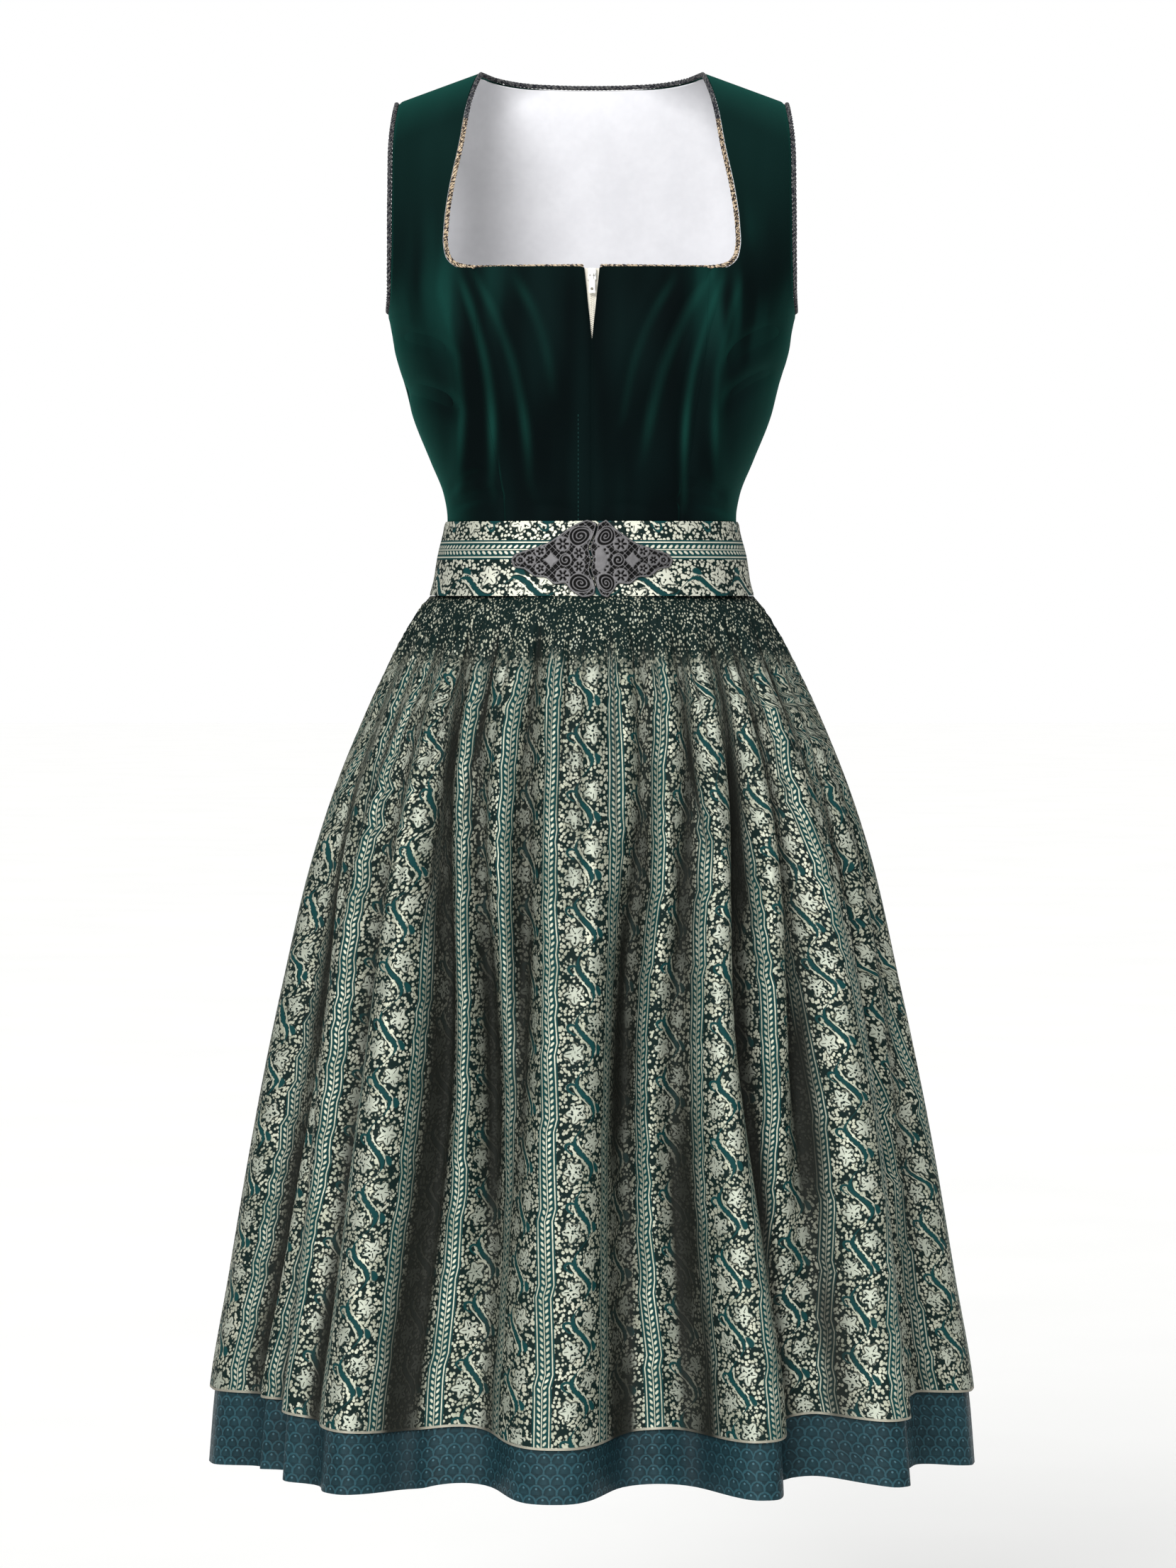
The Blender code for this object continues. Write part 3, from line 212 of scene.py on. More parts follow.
def smooth(low, high, value):
    """3 t squared minus 2 t cubed, where t runs from 0 at low to 1 at high."""
    t = np.clip((value - low) / (high - low), 0.0, 1.0)
    return t * t * (3 - 2 * t)


def uneven(at, seed):
    """The mean of three sine waves, with lengths that share no multiple: from -1 to 1."""
    waves = np.sin(at + seed) + np.sin(1.73 * at + 2.1 * seed) + np.sin(2.91 * at + 3.7 * seed)
    return waves / 3


def unit(vectors):
    """Each vector divided by its own length."""
    size = np.linalg.norm(vectors, axis=-1, keepdims=True)
    return vectors / np.maximum(size, 1e-9)


def grid_normals(points):
    """The cross product of a grid's steps across and along, which points out."""
    return unit(np.cross(np.gradient(points, axis=1), np.gradient(points, axis=0)))


print("half width at the waist band's top:", float(curve(TORSO, BAND_TOP)), "mm")


# %% [markdown]
# ## The torso's form
# Each level section is a rounded oblong, the curve where |x / a| and |y / b| to the power
# 2.5 add up to 1. Two soft mounds give the bust darts their fullness, and toward the
# shoulder's ridge the depth shrinks along a quarter circle so that front and back meet.

# %% The torso as a function
def torso(name, z):
    """One column of the torso's table at a height."""
    return curve(TORSO, z, TORSO_COLUMNS.index(name))


def ridge(x):
    """The shoulder's height: it falls at 20 degrees outward from the neck point."""
    x = np.abs(x)
    slope = np.where(x > NECK_POINT_X, -SHOULDER_SLOPE, -NECK_SLOPE)
    return slope * (x - NECK_POINT_X)


def torso_point(x, z, side):
    """y = middle + side * depth * (1 - |x/width| ^ 2.5) ^ 0.4, with side -1 the front."""
    x, z = np.broadcast_arrays(np.asarray(x, float), np.asarray(z, float))
    depth = torso("front" if side < 0 else "back", z)
    share = np.clip(np.abs(x) / torso("half_width", z), 0.0, 1.0)
    depth = depth * (1 - share**ROUNDNESS) ** (1 / ROUNDNESS)
    if side < 0:
        apart = ((np.abs(x) - BUST["x"]) / BUST["wide"]) ** 2
        apart = apart + ((z - BUST["z"]) / BUST["high"]) ** 2
        depth = depth + BUST["out"] * np.exp(-apart / 2) * (1 - share**8)
    below = np.clip((ridge(x) - z) / SHOULDER_ROUND, 0.0, 1.0)
    rounded = np.sqrt(np.clip(1 - (1 - below) ** 2, 0.0, 1.0))
    return np.stack([x, torso("middle", z) + side * depth * rounded, z], -1)


def torso_turn(turn, z):
    """The same form by angle: x = width * |sin turn| ^ 0.8, which is even at the sides."""
    turn, z = np.broadcast_arrays(np.asarray(turn, float), np.asarray(z, float))
    share = np.abs(np.sin(turn)) ** (2 / ROUNDNESS)
    x = np.sign(np.sin(turn)) * share * torso("half_width", z)
    in_front = (np.cos(turn) > 0)[..., None]
    return np.where(in_front, torso_point(x, z, -1), torso_point(x, z, 1))


def turn_at(x, z, side):
    """The angle whose point has this x: arcsin((x / width) ^ 1.25)."""
    share = np.clip(np.abs(x) / torso("half_width", z), 0.0, 1.0)
    turn = np.arcsin(share ** (ROUNDNESS / 2))
    turn = np.where(side < 0, turn, math.pi - turn)
    return turn * np.where(np.asarray(x) < 0, -1.0, 1.0)


def neck_side(z):
    """The strap's inner edge."""
    return curve(NECK_SIDE, z)


def armhole_x(z):
    """The strap's outer edge, no wider than the form."""
    return np.minimum(curve(ARMHOLE, z), torso("half_width", z))


def back_top(x):
    """The back's upper edge: a scoop between the neck points, then the ridge."""
    x = np.abs(x)
    scoop = NECK_BACK_Z * (1 - np.clip(x / NECK_POINT_X, 0, 1) ** 2.5)
    return np.where(x < NECK_POINT_X, scoop, ridge(x))


# %% [markdown]
# ## The skirt's form
# The skirt is a rounded ring at each height. Each fold draws it in by a bell curve round
# the fold's own angle, and the hem's waves draw it in by a raised cosine between crests.

# %% The skirt as a function
def skirt(name, z):
    """One column of the skirt's table at a height."""
    return curve(SKIRT_SECTIONS, z, SKIRT_COLUMNS.index(name))


def skirt_section(turn, z):
    """x = a * sin ^ (2 / 2.1) and y = -b * cos ^ (2 / 2.1), and the direction out."""
    width = skirt("half_width", z)
    deep = np.where(np.cos(turn) > 0, skirt("front", z), skirt("back", z))
    power = 2 / SKIRT_ROUNDNESS
    sine, cosine = np.sin(turn), np.cos(turn)
    x = np.sign(sine) * np.abs(sine) ** power * width
    y = -np.sign(cosine) * np.abs(cosine) ** power * deep + curve(SKIRT_MIDDLE, z)
    out = unit(np.stack([sine / width, -cosine / deep, np.zeros_like(x)], -1))
    return np.stack([x, y, z], -1), out


def hem_waves(turn):
    """deep * (0.5 - 0.5 cos(2 pi t)) ^ 1.4, where t runs from one crest to the next."""
    crests, deep = np.array(CRESTS).T
    crests = np.append(crests, crests[0] + 360.0)
    at = (np.degrees(turn) - crests[0]) % 360.0 + crests[0]
    k = np.clip(np.searchsorted(crests, at, side="right") - 1, 0, len(deep) - 1)
    t = (at - crests[k]) / (crests[k + 1] - crests[k])
    return deep[k] * (0.5 - 0.5 * np.cos(2 * math.pi * t)) ** CREST_ROUND


def fold_depth(turn, z):
    """The sum of the folds' bell curves, and of the hem's waves as they grow downward."""
    depth = smooth(WAVE_START, WAVE_FULL, z) * hem_waves(turn)
    width, _ = skirt_section(np.full_like(z, math.pi / 2), z)
    girth = width[..., 0]
    levels = np.array(FOLD_LEVELS)
    begin = smooth(FOLD_START, FOLD_LEVELS[0], z)
    at = np.clip(z, levels[-1], levels[0])
    more = curve(list(zip(levels, FOLD_MORE)), at)
    for row in FOLDS:
        fold = dict(zip(FOLD_COLUMNS, row))
        middle = curve(list(zip(levels, (fold["top"], fold["mid"], fold["hem"]))), at)
        deep = curve(list(zip(levels, (fold["deep_top"], fold["deep_mid"], fold["deep_hem"]))), at)
        away = (np.degrees(turn) - middle + 180.0) % 360.0 - 180.0
        away = np.radians(away) * girth
        wide = fold["wide"] * np.interp(girth, (150.0, 240.0, 300.0), (0.62, 1.0, 1.25))
        depth = depth + more * begin * deep * np.exp(-0.5 * (away / wide) ** 2)
    return depth


# %% [markdown]
# The solids carry the main folds. The finer creases between them are added here: narrow
# pleats that spread from the gathers and die out lower down, and a slow ripple that keeps
# the broad stretches from looking ironed.

# %% The finer creases of the skirt
FINE_PLEATS = 62
FINE_PLEAT_DEEP = 3.4
RIPPLE_DEEP = 1.6


def fine_creases(turn, z):
    """|sin| pleats at uneven angles that fade from the hips, and a slow ripple."""
    bent = turn * FINE_PLEATS / 2 + 1.5 * uneven(turn * 7.0, 0.7) + 0.4 * uneven(z / 90.0, 2.0)
    strong = 0.55 + 0.45 * uneven(turn * 11.0 + z / 150.0, 1.3)
    fade = smooth(-800.0, -500.0, z) * smooth(FOLD_START + 4.0, -452.0, z)
    pleats = FINE_PLEAT_DEEP * strong * fade * (1 - np.abs(np.sin(bent))) ** 1.3
    ripple = uneven(turn * 23.0 + 0.6 * uneven(z / 70.0, 0.4), 4.1)
    return pleats + RIPPLE_DEEP * (0.5 - 0.5 * ripple) * smooth(-430.0, -520.0, z)


def skirt_points(turn, z):
    """The folded skirt, which the apron and the dress's own skirt both follow."""
    turn, z = np.broadcast_arrays(np.asarray(turn, float), np.asarray(z, float))
    point, out = skirt_section(turn, z)
    return point - (fold_depth(turn, z) + fine_creases(turn, z))[..., None] * out


def skirt_normals(turn, z):
    """The cross product of two short steps on the folded skirt."""
    step, drop = 0.004, 1.0
    across = skirt_points(turn + step, z) - skirt_points(turn - step, z)
    up = skirt_points(turn, z + drop) - skirt_points(turn, z - drop)
    return unit(np.cross(across, up))


def apron_half(z):
    """Half of the angle that the apron spans, in radians."""
    return np.radians(curve(APRON_SPREAD, z))


def apron_hem(turn):
    """The apron's lower edge, which rises to the sides and over the waves' hollows."""
    side = smooth(0.0, math.radians(95.0), np.abs(turn))
    rise = WAVE_HEM_RISE * hem_waves(turn) - HEM_DROP
    return APRON_HEM_FRONT + (APRON_HEM_SIDE - APRON_HEM_FRONT) * side + rise


def dress_hem(turn):
    """The dress's lower edge."""
    return DRESS_HEM + WAVE_HEM_RISE * hem_waves(turn)


# %% [markdown]
# ## From arrays to meshes
# A cloth wall is one grid for its outside, the same grid moved in for its inside, and
# strips round the edges. All of its faces come from shifted copies of one array of point
# numbers, so no loop visits the points. A mask leaves out the cells that the cut lacks.

# %% Meshes from arrays
def wall_faces(present, closed=False):
    """Quads of a wall and, for each corner, its place on the flat cloth's grid."""
    rows, cells = present.shape
    columns = cells if closed else cells + 1
    number = np.arange((rows + 1) * columns).reshape(rows + 1, columns)
    if closed:
        number = np.concatenate([number, number[:, :1]], 1)
    spot = np.arange((rows + 1) * (cells + 1)).reshape(rows + 1, cells + 1)
    ring, at = (
        np.stack([grid[:-1, :-1], grid[:-1, 1:], grid[1:, 1:], grid[1:, :-1]], -1)
        for grid in (number, spot)
    )
    around = np.pad(present, 1)
    if closed:
        around[1:-1, 0], around[1:-1, -1] = present[:, -1], present[:, 0]
    beside = (around[:-2, 1:-1], around[1:-1, 2:], around[2:, 1:-1], around[1:-1, :-2])
    count = (rows + 1) * columns
    faces = [ring[present], ring[present][:, ::-1] + count]
    spots = [at[present], at[present][:, ::-1]]
    for edge, covered in enumerate(beside):
        bare = present & ~covered
        a, b = ring[bare][:, edge], ring[bare][:, (edge + 1) % 4]
        u, v = at[bare][:, edge], at[bare][:, (edge + 1) % 4]
        faces.append(np.stack([a, a + count, b + count, b], -1))
        spots.append(np.stack([u, u, v, v], -1))
    return np.concatenate(faces), np.concatenate(spots)


def add_piece(name, points, faces, finish, flat=None, marks=None, crease=55.0):
    """A mesh from millimetre points and faces of one size; unused points are dropped."""
    used, corners = np.unique(faces, return_inverse=True)
    corners = corners.reshape(-1)
    mesh = bpy.data.meshes.new(name)
    mesh.vertices.add(len(used))
    mesh.vertices.foreach_set("co", (points[used] * MM).astype(np.float32).ravel())
    mesh.loops.add(len(corners))
    mesh.loops.foreach_set("vertex_index", corners.astype(np.int32))
    size = faces.shape[1]
    mesh.polygons.add(len(faces))
    mesh.polygons.foreach_set("loop_start", np.arange(len(faces), dtype=np.int32) * size)
    mesh.update(calc_edges=True)
    if flat is not None:
        layer = mesh.uv_layers.new(name="flat_cloth")
        layer.uv.foreach_set("vector", flat.astype(np.float32).ravel())
    for label, values in (marks or {}).items():
        attribute = mesh.attributes.new(label, "FLOAT", "POINT")
        attribute.data.foreach_set("value", values[used].astype(np.float32))
    mesh.validate()
    mesh.shade_smooth()
    mesh.set_sharp_from_angle(angle=math.radians(crease))
    mesh.materials.append(finish)
    obj = bpy.data.objects.new(name, mesh)
    bpy.context.scene.collection.objects.link(obj)
    return obj


def surface_area(outer, present=None):
    """Half the length of the cross product of each cell's diagonals, summed, in mm2."""
    first = outer[1:, 1:] - outer[:-1, :-1]
    second = outer[1:, :-1] - outer[:-1, 1:]
    cells = np.linalg.norm(np.cross(first, second), axis=-1) / 2
    return float(cells.sum() if present is None else cells[present].sum())


def lengths(points, axis):
    """The length of each line of a grid along one axis."""
    return np.linalg.norm(np.diff(points, axis=axis), axis=-1).sum(axis)


def cloth(name, outer, thick, finish, node, normal=None, present=None, closed=False,
          flat=None, marks=None, inner=None):
    """A closed wall of cloth that stands for a CAD node and rides on the dress."""
    normal = grid_normals(outer) if normal is None else normal
    inner = outer - thick * normal if inner is None else inner
    rows, columns = outer.shape[:2]
    cells = columns if closed else columns - 1
    present = np.ones((rows - 1, cells), bool) if present is None else present
    faces, spots = wall_faces(present, closed)
    if flat is None:
        across = np.concatenate([np.zeros((rows, 1)),
                                 np.cumsum(np.linalg.norm(np.diff(outer, axis=1), axis=-1), 1)], 1)
        flat = np.stack([across - across[:, -1:] / 2, outer[..., 2]], -1)
    both = {label: np.concatenate([values.ravel()] * 2) for label, values in (marks or {}).items()}
    points = np.concatenate([outer.reshape(-1, 3), inner.reshape(-1, 3)])
    piece = add_piece(name, points, faces, finish, flat.reshape(-1, 2)[spots], both)
    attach(piece, "dress")
    if node:
        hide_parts(node)
    return piece


# %% [markdown]
# ## Shader helpers
# A woven motif is easiest to write as arithmetic on two lengths. The small class below
# lets Python's own signs add Math nodes, so a motif reads like its formula.

# %% Arithmetic on sockets
class Value:
    """A number in a node tree; the signs + - * / join it to others with Math nodes."""

    def __init__(self, tree, socket):
        self.tree = tree
        self.socket = socket

    def join(self, operation, *values):
        """A Math node of this operation on the values, in order."""
        node = self.tree.nodes.new("ShaderNodeMath")
        node.operation = operation
        for place, value in zip(node.inputs, values):
            if isinstance(value, Value):
                self.tree.links.new(value.socket, place)
            else:
                place.default_value = value
        return Value(self.tree, node.outputs[0])

    def __add__(self, other):
        return self.join("ADD", self, other)

    def __sub__(self, other):
        return self.join("SUBTRACT", self, other)

    def __rsub__(self, other):
        return self.join("SUBTRACT", other, self)

    def __mul__(self, other):
        return self.join("MULTIPLY", self, other)

    def __truediv__(self, other):
        return self.join("DIVIDE", self, other)

    __radd__, __rmul__ = __add__, __mul__


def sine(value):
    return value.join("SINE", value)


def cosine(value):
    return value.join("COSINE", value)


def absolute(value):
    return value.join("ABSOLUTE", value)


def sign(value):
    return value.join("SIGN", value)


def least(first, second):
    return first.join("MINIMUM", first, second)


def most(first, second):
    return first.join("MAXIMUM", first, second)


def distance(first, second):
    """The root of the two squares' sum."""
    total = first * first + second * second
    return total.join("SQRT", total)


def repeat(value, period):
    """The place within one repeat, from minus half the period to half of it."""
    shifted = value / period + 0.5
    part = shifted.join("FRACT", shifted)
    return (part - 0.5) * period


def over(value, low, high):
    """A soft step from 0 at low to 1 at high, with a Map Range node."""
    node = value.tree.nodes.new("ShaderNodeMapRange")
    node.interpolation_type = "SMOOTHSTEP"
    value.tree.links.new(value.socket, node.inputs["Value"])
    for name, end in (("From Min", low), ("From Max", high)):
        if isinstance(end, Value):
            value.tree.links.new(end.socket, node.inputs[name])
        else:
            node.inputs[name].default_value = end
    return Value(value.tree, node.outputs["Result"])


def under(value, low, high):
    """A soft step from 1 at low to 0 at high."""
    return 1 - over(value, low, high)


def noise(tree, vector, scale, detail=2.0, roughness=0.5):
    """A Noise Texture's value at a vector."""
    node = tree.nodes.new("ShaderNodeTexNoise")
    node.inputs["Scale"].default_value = scale
    node.inputs["Detail"].default_value = detail
    node.inputs["Roughness"].default_value = roughness
    tree.links.new(vector, node.inputs["Vector"])
    return Value(tree, node.outputs["Fac"])


def cell_distance(tree, vector, scale, random=1.0):
    """How far the nearest scattered point is, in cells."""
    node = tree.nodes.new("ShaderNodeTexVoronoi")
    node.inputs["Scale"].default_value = scale
    node.inputs["Randomness"].default_value = random
    tree.links.new(vector, node.inputs["Vector"])
    return Value(tree, node.outputs["Distance"])


# %% Node groups and materials
def new_group(name, inputs, outputs, build):
    """A node group; build gets its tree and input sockets and returns its output values."""
    tree = bpy.data.node_groups.new(name, "ShaderNodeTree")
    for label, kind, value in inputs:
        socket = tree.interface.new_socket(label, in_out="INPUT", socket_type=kind)
        if value is not None:
            socket.default_value = value
    for label, kind in outputs:
        tree.interface.new_socket(label, in_out="OUTPUT", socket_type=kind)
    entry, leave = tree.nodes.new("NodeGroupInput"), tree.nodes.new("NodeGroupOutput")
    made = build(tree, {label: entry.outputs[label] for label, *_ in inputs})
    for label, _ in outputs:
        tree.links.new(made[label].socket, leave.inputs[label])
    return tree


def use_group(tree, group, **values):
    """A group placed in a material, with sockets linked and numbers set by name."""
    node = tree.nodes.new("ShaderNodeGroup")
    node.node_tree = group
    for label, value in values.items():
        if isinstance(value, Value):
            tree.links.new(value.socket, node.inputs[label])
        elif isinstance(value, bpy.types.NodeSocket):
            tree.links.new(value, node.inputs[label])
        else:
            node.inputs[label].default_value = value
    return {out.name: Value(tree, out) for out in node.outputs}


def split(tree, vector):
    """A vector's x and y as values."""
    node = tree.nodes.new("ShaderNodeSeparateXYZ")
    tree.links.new(vector, node.inputs[0])
    return Value(tree, node.outputs["X"]), Value(tree, node.outputs["Y"])


def mixed(tree, share, first, second):
    """A colour between two, each a socket or a tuple of three numbers."""
    node = tree.nodes.new("ShaderNodeMix")
    node.data_type = "RGBA"
    tree.links.new(share.socket, node.inputs[0])
    for place, colour in ((node.inputs[6], first), (node.inputs[7], second)):
        if isinstance(colour, tuple):
            place.default_value = (*colour, 1.0)
        else:
            tree.links.new(colour, place)
    return node.outputs[2]


def attribute(tree, name):
    """A value that the mesh carries at its points."""
    node = tree.nodes.new("ShaderNodeAttribute")
    node.attribute_name = name
    return Value(tree, node.outputs["Fac"])


def new_material(name, **settings):
    """A material with its shader's fixed numbers set on the shader's own sockets."""
    made = bpy.data.materials.new(name)
    made.use_nodes = True
    shader = made.node_tree.nodes["Principled BSDF"]
    for label, value in settings.items():
        shader.inputs[label.replace("_", " ")].default_value = value
    return made, made.node_tree, shader


def flat_cloth(tree):
    """The place on the flat cloth, in millimetres across and down."""
    node = tree.nodes.new("ShaderNodeUVMap")
    node.uv_map = "flat_cloth"
    return node.outputs["UV"]


def object_place(tree):
    """The place in the object's own frame, in metres."""
    return tree.nodes.new("ShaderNodeTexCoord").outputs["Object"]


def bumped(tree, height, distance_mm, strength=1.0, before=None):
    """The normal of a surface raised by a height from 0 to 1."""
    node = tree.nodes.new("ShaderNodeBump")
    node.inputs["Strength"].default_value = strength
    node.inputs["Distance"].default_value = distance_mm * MM
    tree.links.new(height.socket, node.inputs["Height"])
    if before is not None:
        tree.links.new(before, node.inputs["Normal"])
    return node.outputs["Normal"]


# %% [markdown]
# ## Effects that several finishes share
# The weave's fine ribs and the slow unevenness of dye, wear and nap turn up on every cloth
# here, so each is a node group that is built once.

# %% The shared groups
def build_weave(tree, sockets):
    """sin across times sin along, at the thread's pitch."""
    x, y = split(tree, sockets["Place"])
    pitch = Value(tree, sockets["Pitch"])
    return {"Height": sine(x / pitch * math.tau) * sine(y / pitch * math.tau) * 0.5 + 0.5}


def build_uneven(tree, sockets):
    """Two sizes of noise, mixed, about a mean of one half."""
    slow = noise(tree, sockets["Place"], 1.0, 3.0)
    fine = noise(tree, sockets["Place"], 7.0, 2.0)
    return {"Value": slow * 0.7 + fine * 0.3}


PLACE = ("Place", "NodeSocketVector", None)
WEAVE = new_group("Weave", [PLACE, ("Pitch", "NodeSocketFloat", 0.8)],
                  [("Height", "NodeSocketFloat")], build_weave)
UNEVEN = new_group("Uneven dye and wear", [PLACE], [("Value", "NodeSocketFloat")], build_uneven)


def scaled(tree, vector, x, y=None, z=None):
    """A vector multiplied by a Mapping node's scale."""
    node = tree.nodes.new("ShaderNodeMapping")
    node.inputs["Scale"].default_value = (x, x if y is None else y, x if z is None else z)
    tree.links.new(vector, node.inputs["Vector"])
    return node.outputs[0]


# %% [markdown]
# ## The apron's jacquard
# The cloth has broad stripes in which a stem winds from side to side round flowers, and
# narrow borders of small leaves between pale lines. The pale weft covers most of it and
# the dark teal ground shows as dots and strokes. The motifs here are generic ones of that
# kind, drawn by formula: the stem is a sine, a flower is a radius that swings with angle.

# %% The vine stripes
STRIPE = 57.0
VINE_HALF = 21.0
VINE_REPEAT = 45.0
LEAF_REPEAT = 4.8


def build_vines(tree, sockets):
    """Where the pale weft shows at a place in millimetres, and where a flower lies."""
    raw_x, y = split(tree, sockets["Place"])
    warp = noise(tree, scaled(tree, sockets["Place"], 1 / 9.0), 1.0, 2.0)
    x = repeat(raw_x, STRIPE) + (warp - 0.5) * 2.4
    phase = y * (math.tau / VINE_REPEAT)
    pebbles = cell_distance(tree, scaled(tree, sockets["Place"], 1 / 2.7, 1 / 2.9), 1.0, 0.8)
    dots = cell_distance(tree, scaled(tree, sockets["Place"], 1 / 2.9, 1 / 2.6), 1.0, 0.85)
    net = over(pebbles, 0.42, 0.56)
    half = VINE_REPEAT / 2
    turn = sign(sine(phase))
    flower_x = (x - turn * 8.0) * turn
    flower_y = repeat(y + half / 2, half)
    radius = distance(flower_x, flower_y * 0.9)
    angle = radius.join("ARCTAN2", flower_y, flower_x)
    edge = cosine(angle * 5.0 + 0.6) * 1.4 + 6.4 + (warp - 0.5) * 3.0
    flower = under(radius, edge - 0.6, edge + 0.4)
    petals = under(absolute(sine(angle * 2.5 + 0.3)) * radius, 0.35, 0.9)
    petals = petals * over(radius, 2.2, 2.8) * under(radius, 5.4, 6.6)
    on_flower = most(under(dots, 0.28, 0.40), petals)
    dark = net * (1 - flower) + on_flower * flower
    dark = most(dark, under(absolute(radius - edge - 0.7), 0.4, 0.95) * 0.85)
    off = x + sine(phase) * 7.0
    swell = cosine(phase) * 0.5 + 0.5
    stroke = swell * 2.3 + 0.3
    stem = under(absolute(off), stroke - 0.35, stroke + 0.35)
    hook_y = repeat(y - 6.0, VINE_REPEAT)
    hook = absolute(distance(off + 4.0, hook_y) - 4.3)
    hook = under(hook, 0.7, 1.3) * over(hook_y - off * 0.6, -0.5, 0.7)
    leaf = under(distance((off - 5.5) * 0.7, repeat(y + 9.0, VINE_REPEAT) * 0.42), 1.5, 2.1)
    light_edge = under(absolute(absolute(off) - stroke - 1.5), 0.5, 1.0) * over(swell, 0.25, 0.5)
    strokes = most(most(stem, hook), leaf)
    dark = most(dark * (1 - light_edge), strokes)
    across = absolute(repeat(raw_x + STRIPE / 2, STRIPE))
    margin = STRIPE / 2 - VINE_HALF
    border = under(across, margin - 0.2, margin)
    line = over(across, 5.0, 5.3) * under(across, 6.0, 6.4)
    half_leaf = repeat(y + sign(repeat(raw_x + STRIPE / 2, STRIPE)) * (LEAF_REPEAT / 4), LEAF_REPEAT)
    side = across - 2.3
    leaves = under(distance(side * 0.85, half_leaf * 0.8 - side * 0.55), 0.9, 1.4)
    middle = under(across, 0.25, 0.6)
    dark = dark * (1 - border) + (1 - most(most(leaves, middle), line)) * border
    return {"Pale": 1 - least(dark, 1.0), "Flower": flower * (1 - border),
            "Bright": most(border, strokes)}


def build_pebbles(tree, sockets):
    """The weft's pale specks where tight gathers chop the motif up: scattered round cells."""
    jump = noise(tree, scaled(tree, sockets["Place"], 0.11), 1.0, 1.0)
    near = cell_distance(tree, scaled(tree, sockets["Place"], 0.5, 0.5, 0.33), 1.0, 1.0)
    return {"Pale": under(near, jump * 0.62 - 0.06, jump * 0.62 + 0.10)}


VINES = new_group("Vine and flower stripes", [PLACE],
                  [("Pale", "NodeSocketFloat"), ("Flower", "NodeSocketFloat"),
                   ("Bright", "NodeSocketFloat")], build_vines)
PEBBLES = new_group("Gathered specks", [PLACE], [("Pale", "NodeSocketFloat")], build_pebbles)


def make_jacquard():
    """The apron's cloth: pale satin weft on a dark teal ground."""
    made, tree, shader = new_material("apron_jacquard", Specular_IOR_Level=0.08)
    place = flat_cloth(tree)
    motif = use_group(tree, VINES, Place=place)
    specks = use_group(tree, PEBBLES, Place=scaled(tree, object_place(tree), 1000.0))["Pale"]
    smocked = attribute(tree, "smocked")
    # Painted shade: the fold valleys are coloured near-black, unevenly along a slow noise, and lose their
    # metal.
    patchy = noise(tree, scaled(tree, object_place(tree), 16.0, 16.0, 5.0), 1.0, 1.0)
    hollow_shade = over(attribute(tree, "hollow_shade"), 0.03, 0.8) * (over(patchy, 0.34, 0.54) * 0.35 + 0.65)
    pale = most(motif["Pale"] + (specks - motif["Pale"]) * smocked, attribute(tree, "hem_line"))
    dye = use_group(tree, UNEVEN, Place=scaled(tree, place, 1 / 24.0))["Value"]
    sage = mixed(tree, over(dye, 0.36, 0.64), (0.275, 0.29, 0.222), (0.455, 0.465, 0.372))
    sage = mixed(tree, motif["Flower"] * 0.5, sage, (0.35, 0.39, 0.34))
    sage = mixed(tree, attribute(tree, "band") * 0.6, sage, (0.66, 0.66, 0.56))
    sage = mixed(tree, attribute(tree, "hem_line") * 0.6, sage, (0.22, 0.19, 0.16))
    ground = mixed(tree, motif["Bright"] * (1 - smocked), (0.003, 0.011, 0.010), (0.003, 0.034, 0.035))
    colour = mixed(tree, pale, ground, sage)
    colour = mixed(tree, hollow_shade * 0.98, colour, (0.009, 0.010, 0.008))
    tree.links.new(colour, shader.inputs["Base Color"])
    tree.links.new((pale * (1 - hollow_shade) * 0.55).socket, shader.inputs["Metallic"])
    tree.links.new((pale * -0.12 + 0.62).socket, shader.inputs["Roughness"])
    weave = use_group(tree, WEAVE, Place=place, Pitch=0.9)["Height"]
    relief = pale * 0.75 + weave * 0.25
    tree.links.new(bumped(tree, relief, 0.35), shader.inputs["Normal"])
    return made


# %% [markdown]
# ## The dress skirt's scales
# The skirt under the apron is a petrol jacquard of small overlapping scales, each with a
# bright dot. A scale is a disc; every other row is moved by half a scale.

# %% The scale pattern
SCALE_WIDE = 10.5
SCALE_ROW = 8.2


def build_scales(tree, sockets):
    """How bright the silk lies at a place: the scales' rims, their fill and their dots."""
    x, y = split(tree, sockets["Place"])
    two_rows = repeat(y, 2 * SCALE_ROW)
    odd = over(two_rows, -0.01, 0.01)
    across = repeat(x + odd * (SCALE_WIDE / 2), SCALE_WIDE)
    down = repeat(y + SCALE_ROW / 2, SCALE_ROW)
    wave = noise(tree, scaled(tree, sockets["Place"], 1 / 2.6), 1.0, 2.0)
    radius = distance(across, (down + 3.0) * 0.85) + (wave - 0.5) * 1.6
    rim = over(radius, 4.2, 4.9) * under(radius, 5.4, 6.2)
    fill = under(radius, 1.0, 4.4)
    dot = under(distance(across, down - 0.5), 0.6, 1.15)
    return {"Silk": least(rim * 0.9 + fill * 0.22 + wave * 0.2, 1.0), "Dot": dot}


SCALES = new_group("Overlapping scales", [PLACE],
                   [("Silk", "NodeSocketFloat"), ("Dot", "NodeSocketFloat")], build_scales)


